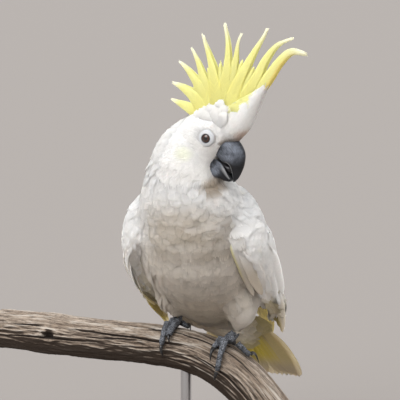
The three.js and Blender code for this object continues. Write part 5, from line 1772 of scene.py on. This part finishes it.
for name, edge_feathers, kinds in (
    ("wing_front_left", FRONT_FEATHERS + FLIGHT_TIPS,
     ("yellow_edge", "soiled", "half_soiled") + ("white",) * 4 + ("beige", "olive", "olive")),
    ("wing_front_right", OPEN_TIPS, ("olive", "taupe", "taupe", "white")),
):
    spines, faces, halves, tops = [], [], [], []
    for (way, facing, half, height), kind in zip(edge_feathers, kinds):
        rows = smooth_rows(way, WING_STEPS - 1)
        raised = height - ROOT_SINK * (1 - fade(share, 0.0, 0.22))
        facing = unit(np.array(facing))
        place = rows[:, :1] * wing_run + rows[:, 1:2] * np.array((1, 0, 0)) + rows[:, 2:] * wing_top
        spines.append(wing_root + (place + raised[:, None] * facing) * MM)
        faces.append(np.broadcast_to(facing, (WING_STEPS, 3)))
        halves.append(vane_outline(share, half, 0.35) * MM)
        dyes = np.broadcast_to(WHITE, (WING_STEPS, VANE_COLUMNS, 3))
        for color, across, (begin, full), (ebb, gone) in EDGE_DYES[kind]:
            along = fade(share, begin, full) * (1 - fade(share, ebb, gone))
            dyes = mixed(dyes, color, across * along[:, None])
        tops.append(dyes)
    blades(name, np.array(spines), np.array(faces), np.array(halves), FLIGHT_THICKNESS, 0.10,
           np.array(tops), WHITE, "white_plumage", ragged=0.8 * MM)

TAIL_FEATHERS = 12
TAIL_ROOT = (0, 96, 5)
TAIL_SLOPE = math.radians(32)
TAIL_LENGTH = 206
TAIL_ROUND = 24  # how much shorter its outermost feathers are
TAIL_END = (0.42, 0.345, 0.225)
TAIL_HALF_SPREAD = 38  # from the middle line to the outer feathers' shafts, by their widest
FEATHER_HALF = 12.5
TAIL_STEPS = 20
TAIL_LAYER = 0.55  # between one feather and the next
tail_run = np.array((0, math.cos(TAIL_SLOPE), -math.sin(TAIL_SLOPE)))
tail_up = np.array((0, math.sin(TAIL_SLOPE), math.cos(TAIL_SLOPE)))
share = np.linspace(0, 1, TAIL_STEPS)
spines, faces, halves, unders, tops = [], [], [], [], []
for index in range(TAIL_FEATHERS):
    half_count = (TAIL_FEATHERS - 1) / 2
    place_across = (index - half_count) / half_count
    feather_length = TAIL_LENGTH - TAIL_ROUND * abs(place_across) ** 2 + draw.normal(0, 1.2)
    off = place_across * TAIL_HALF_SPREAD * (0.25 + 0.75 * fade(share, -0.3, 0.5))
    droop = -0.2 * off**2 / 40 - TAIL_LAYER * abs(place_across) * (TAIL_FEATHERS - 1) / 2
    way = (np.array(TAIL_ROOT) + (share * feather_length)[:, None] * tail_run
           + droop[:, None] * tail_up + off[:, None] * np.array((1, 0, 0)))
    spines.append(bird_place + way * MM)
    faces.append(unit(np.broadcast_to(
        tail_up + 0.10 * place_across * np.array((1, 0, 0)), way.shape)))
    halves.append(vane_outline(share, FEATHER_HALF, 0.8) * MM)
    outward = fade(u * np.sign(place_across), -0.1, 0.9)
    shape = (TAIL_STEPS, VANE_COLUMNS, 3)
    under = mixed(np.broadcast_to(VANE_YELLOW, shape), VANE_BEIGE,
                  np.maximum(outward[None] * 0.5, fade(share, 0.62, 0.9)[:, None] * 0.9))
    under = mixed(under, VANE_BEIGE, 0.6 * abs(place_across) ** 3)
    outermost = abs(place_across) > 0.95
    under = mixed(under, TAIL_END, np.broadcast_to(0.7 * outward * outermost, shape[:2]))
    under = mixed(under, TAIL_END, 0.8 * fade(share, 0.72, 0.95)[:, None])
    unders.append(under)
    rim = 0.8 * outward[None] * outermost * np.ones((TAIL_STEPS, 1))
    tops.append(mixed(np.broadcast_to(WHITE, shape), VANE_BEIGE, rim))
blades("tail_feathers", np.array(spines), np.array(faces), np.array(halves), FLIGHT_THICKNESS,
       0.05, np.array(tops), np.array(unders), "white_plumage", ["tail"], ragged=2.6 * MM)

# The loose white feathers under the tail's root: the middle of their sheet, back and up, and how
# far it reaches to each side.
UNDERTAIL = ((40, 12, 46), (76, -9, 46), (106, -24, 32), (132, -37, 22), (156, -50, 15))
UNDERTAIL_FEATHERS = 300
# Painted shade on the undertail's right side, under the belly.
UNDERTAIL_SHADE = (0.33, 0.26, 0.17)
UNDERTAIL_WIDTH = 15
sheet = smooth_rows(UNDERTAIL, 100)
count = UNDERTAIL_FEATHERS
station = (draw.uniform(0, 0.74, count) * 100).astype(int)
across = draw.uniform(-1, 1, count)
across = np.where((across > 0) & (station > 36), 0.6 * across, across)
line = []
for step in range(STATIONS):
    at = np.clip(station + step * 5, 0, 100)
    sag = 4 * across**2
    local = np.stack((across * sheet[at, 2], sheet[at, 0], sheet[at, 1] + sag), -1)
    line.append(bird_place + local * MM)
line = np.stack(line, 1)
line_normals = np.broadcast_to(unit(np.array((0, -0.5, -0.85))), line.shape)
nearest = [skin_tree.find_nearest(Vector(point))[2] for point in line[:, 0]]
olive = np.maximum(fade(station / 100, 0.3, 0.74), fade(across, 0.4, 0.9))
# The side towards the bird's right, under the belly, is painted brown: painted shade.
shaded_side = 0.85 * (1 - fade(across, -0.7, 0.05))
feathers("coat_undertail", line, line_normals,
         UNDERTAIL_WIDTH * MM * draw.uniform(0.8, 1.2, count),
         draw.uniform(0.5, 3.5, count) * MM, (7, 6, 0.75, 0.35, 0.10, 0.75, 0.0, 0.03, 0.5, 0.8),
         draw.normal(1, 0.015, count), triangle_uv[nearest].mean(1),
         mixed(mixed(UNDERTAIL_CREAM, UNDERTAIL_OLIVE, olive), UNDERTAIL_SHADE, shaded_side))


low, high = cad_box
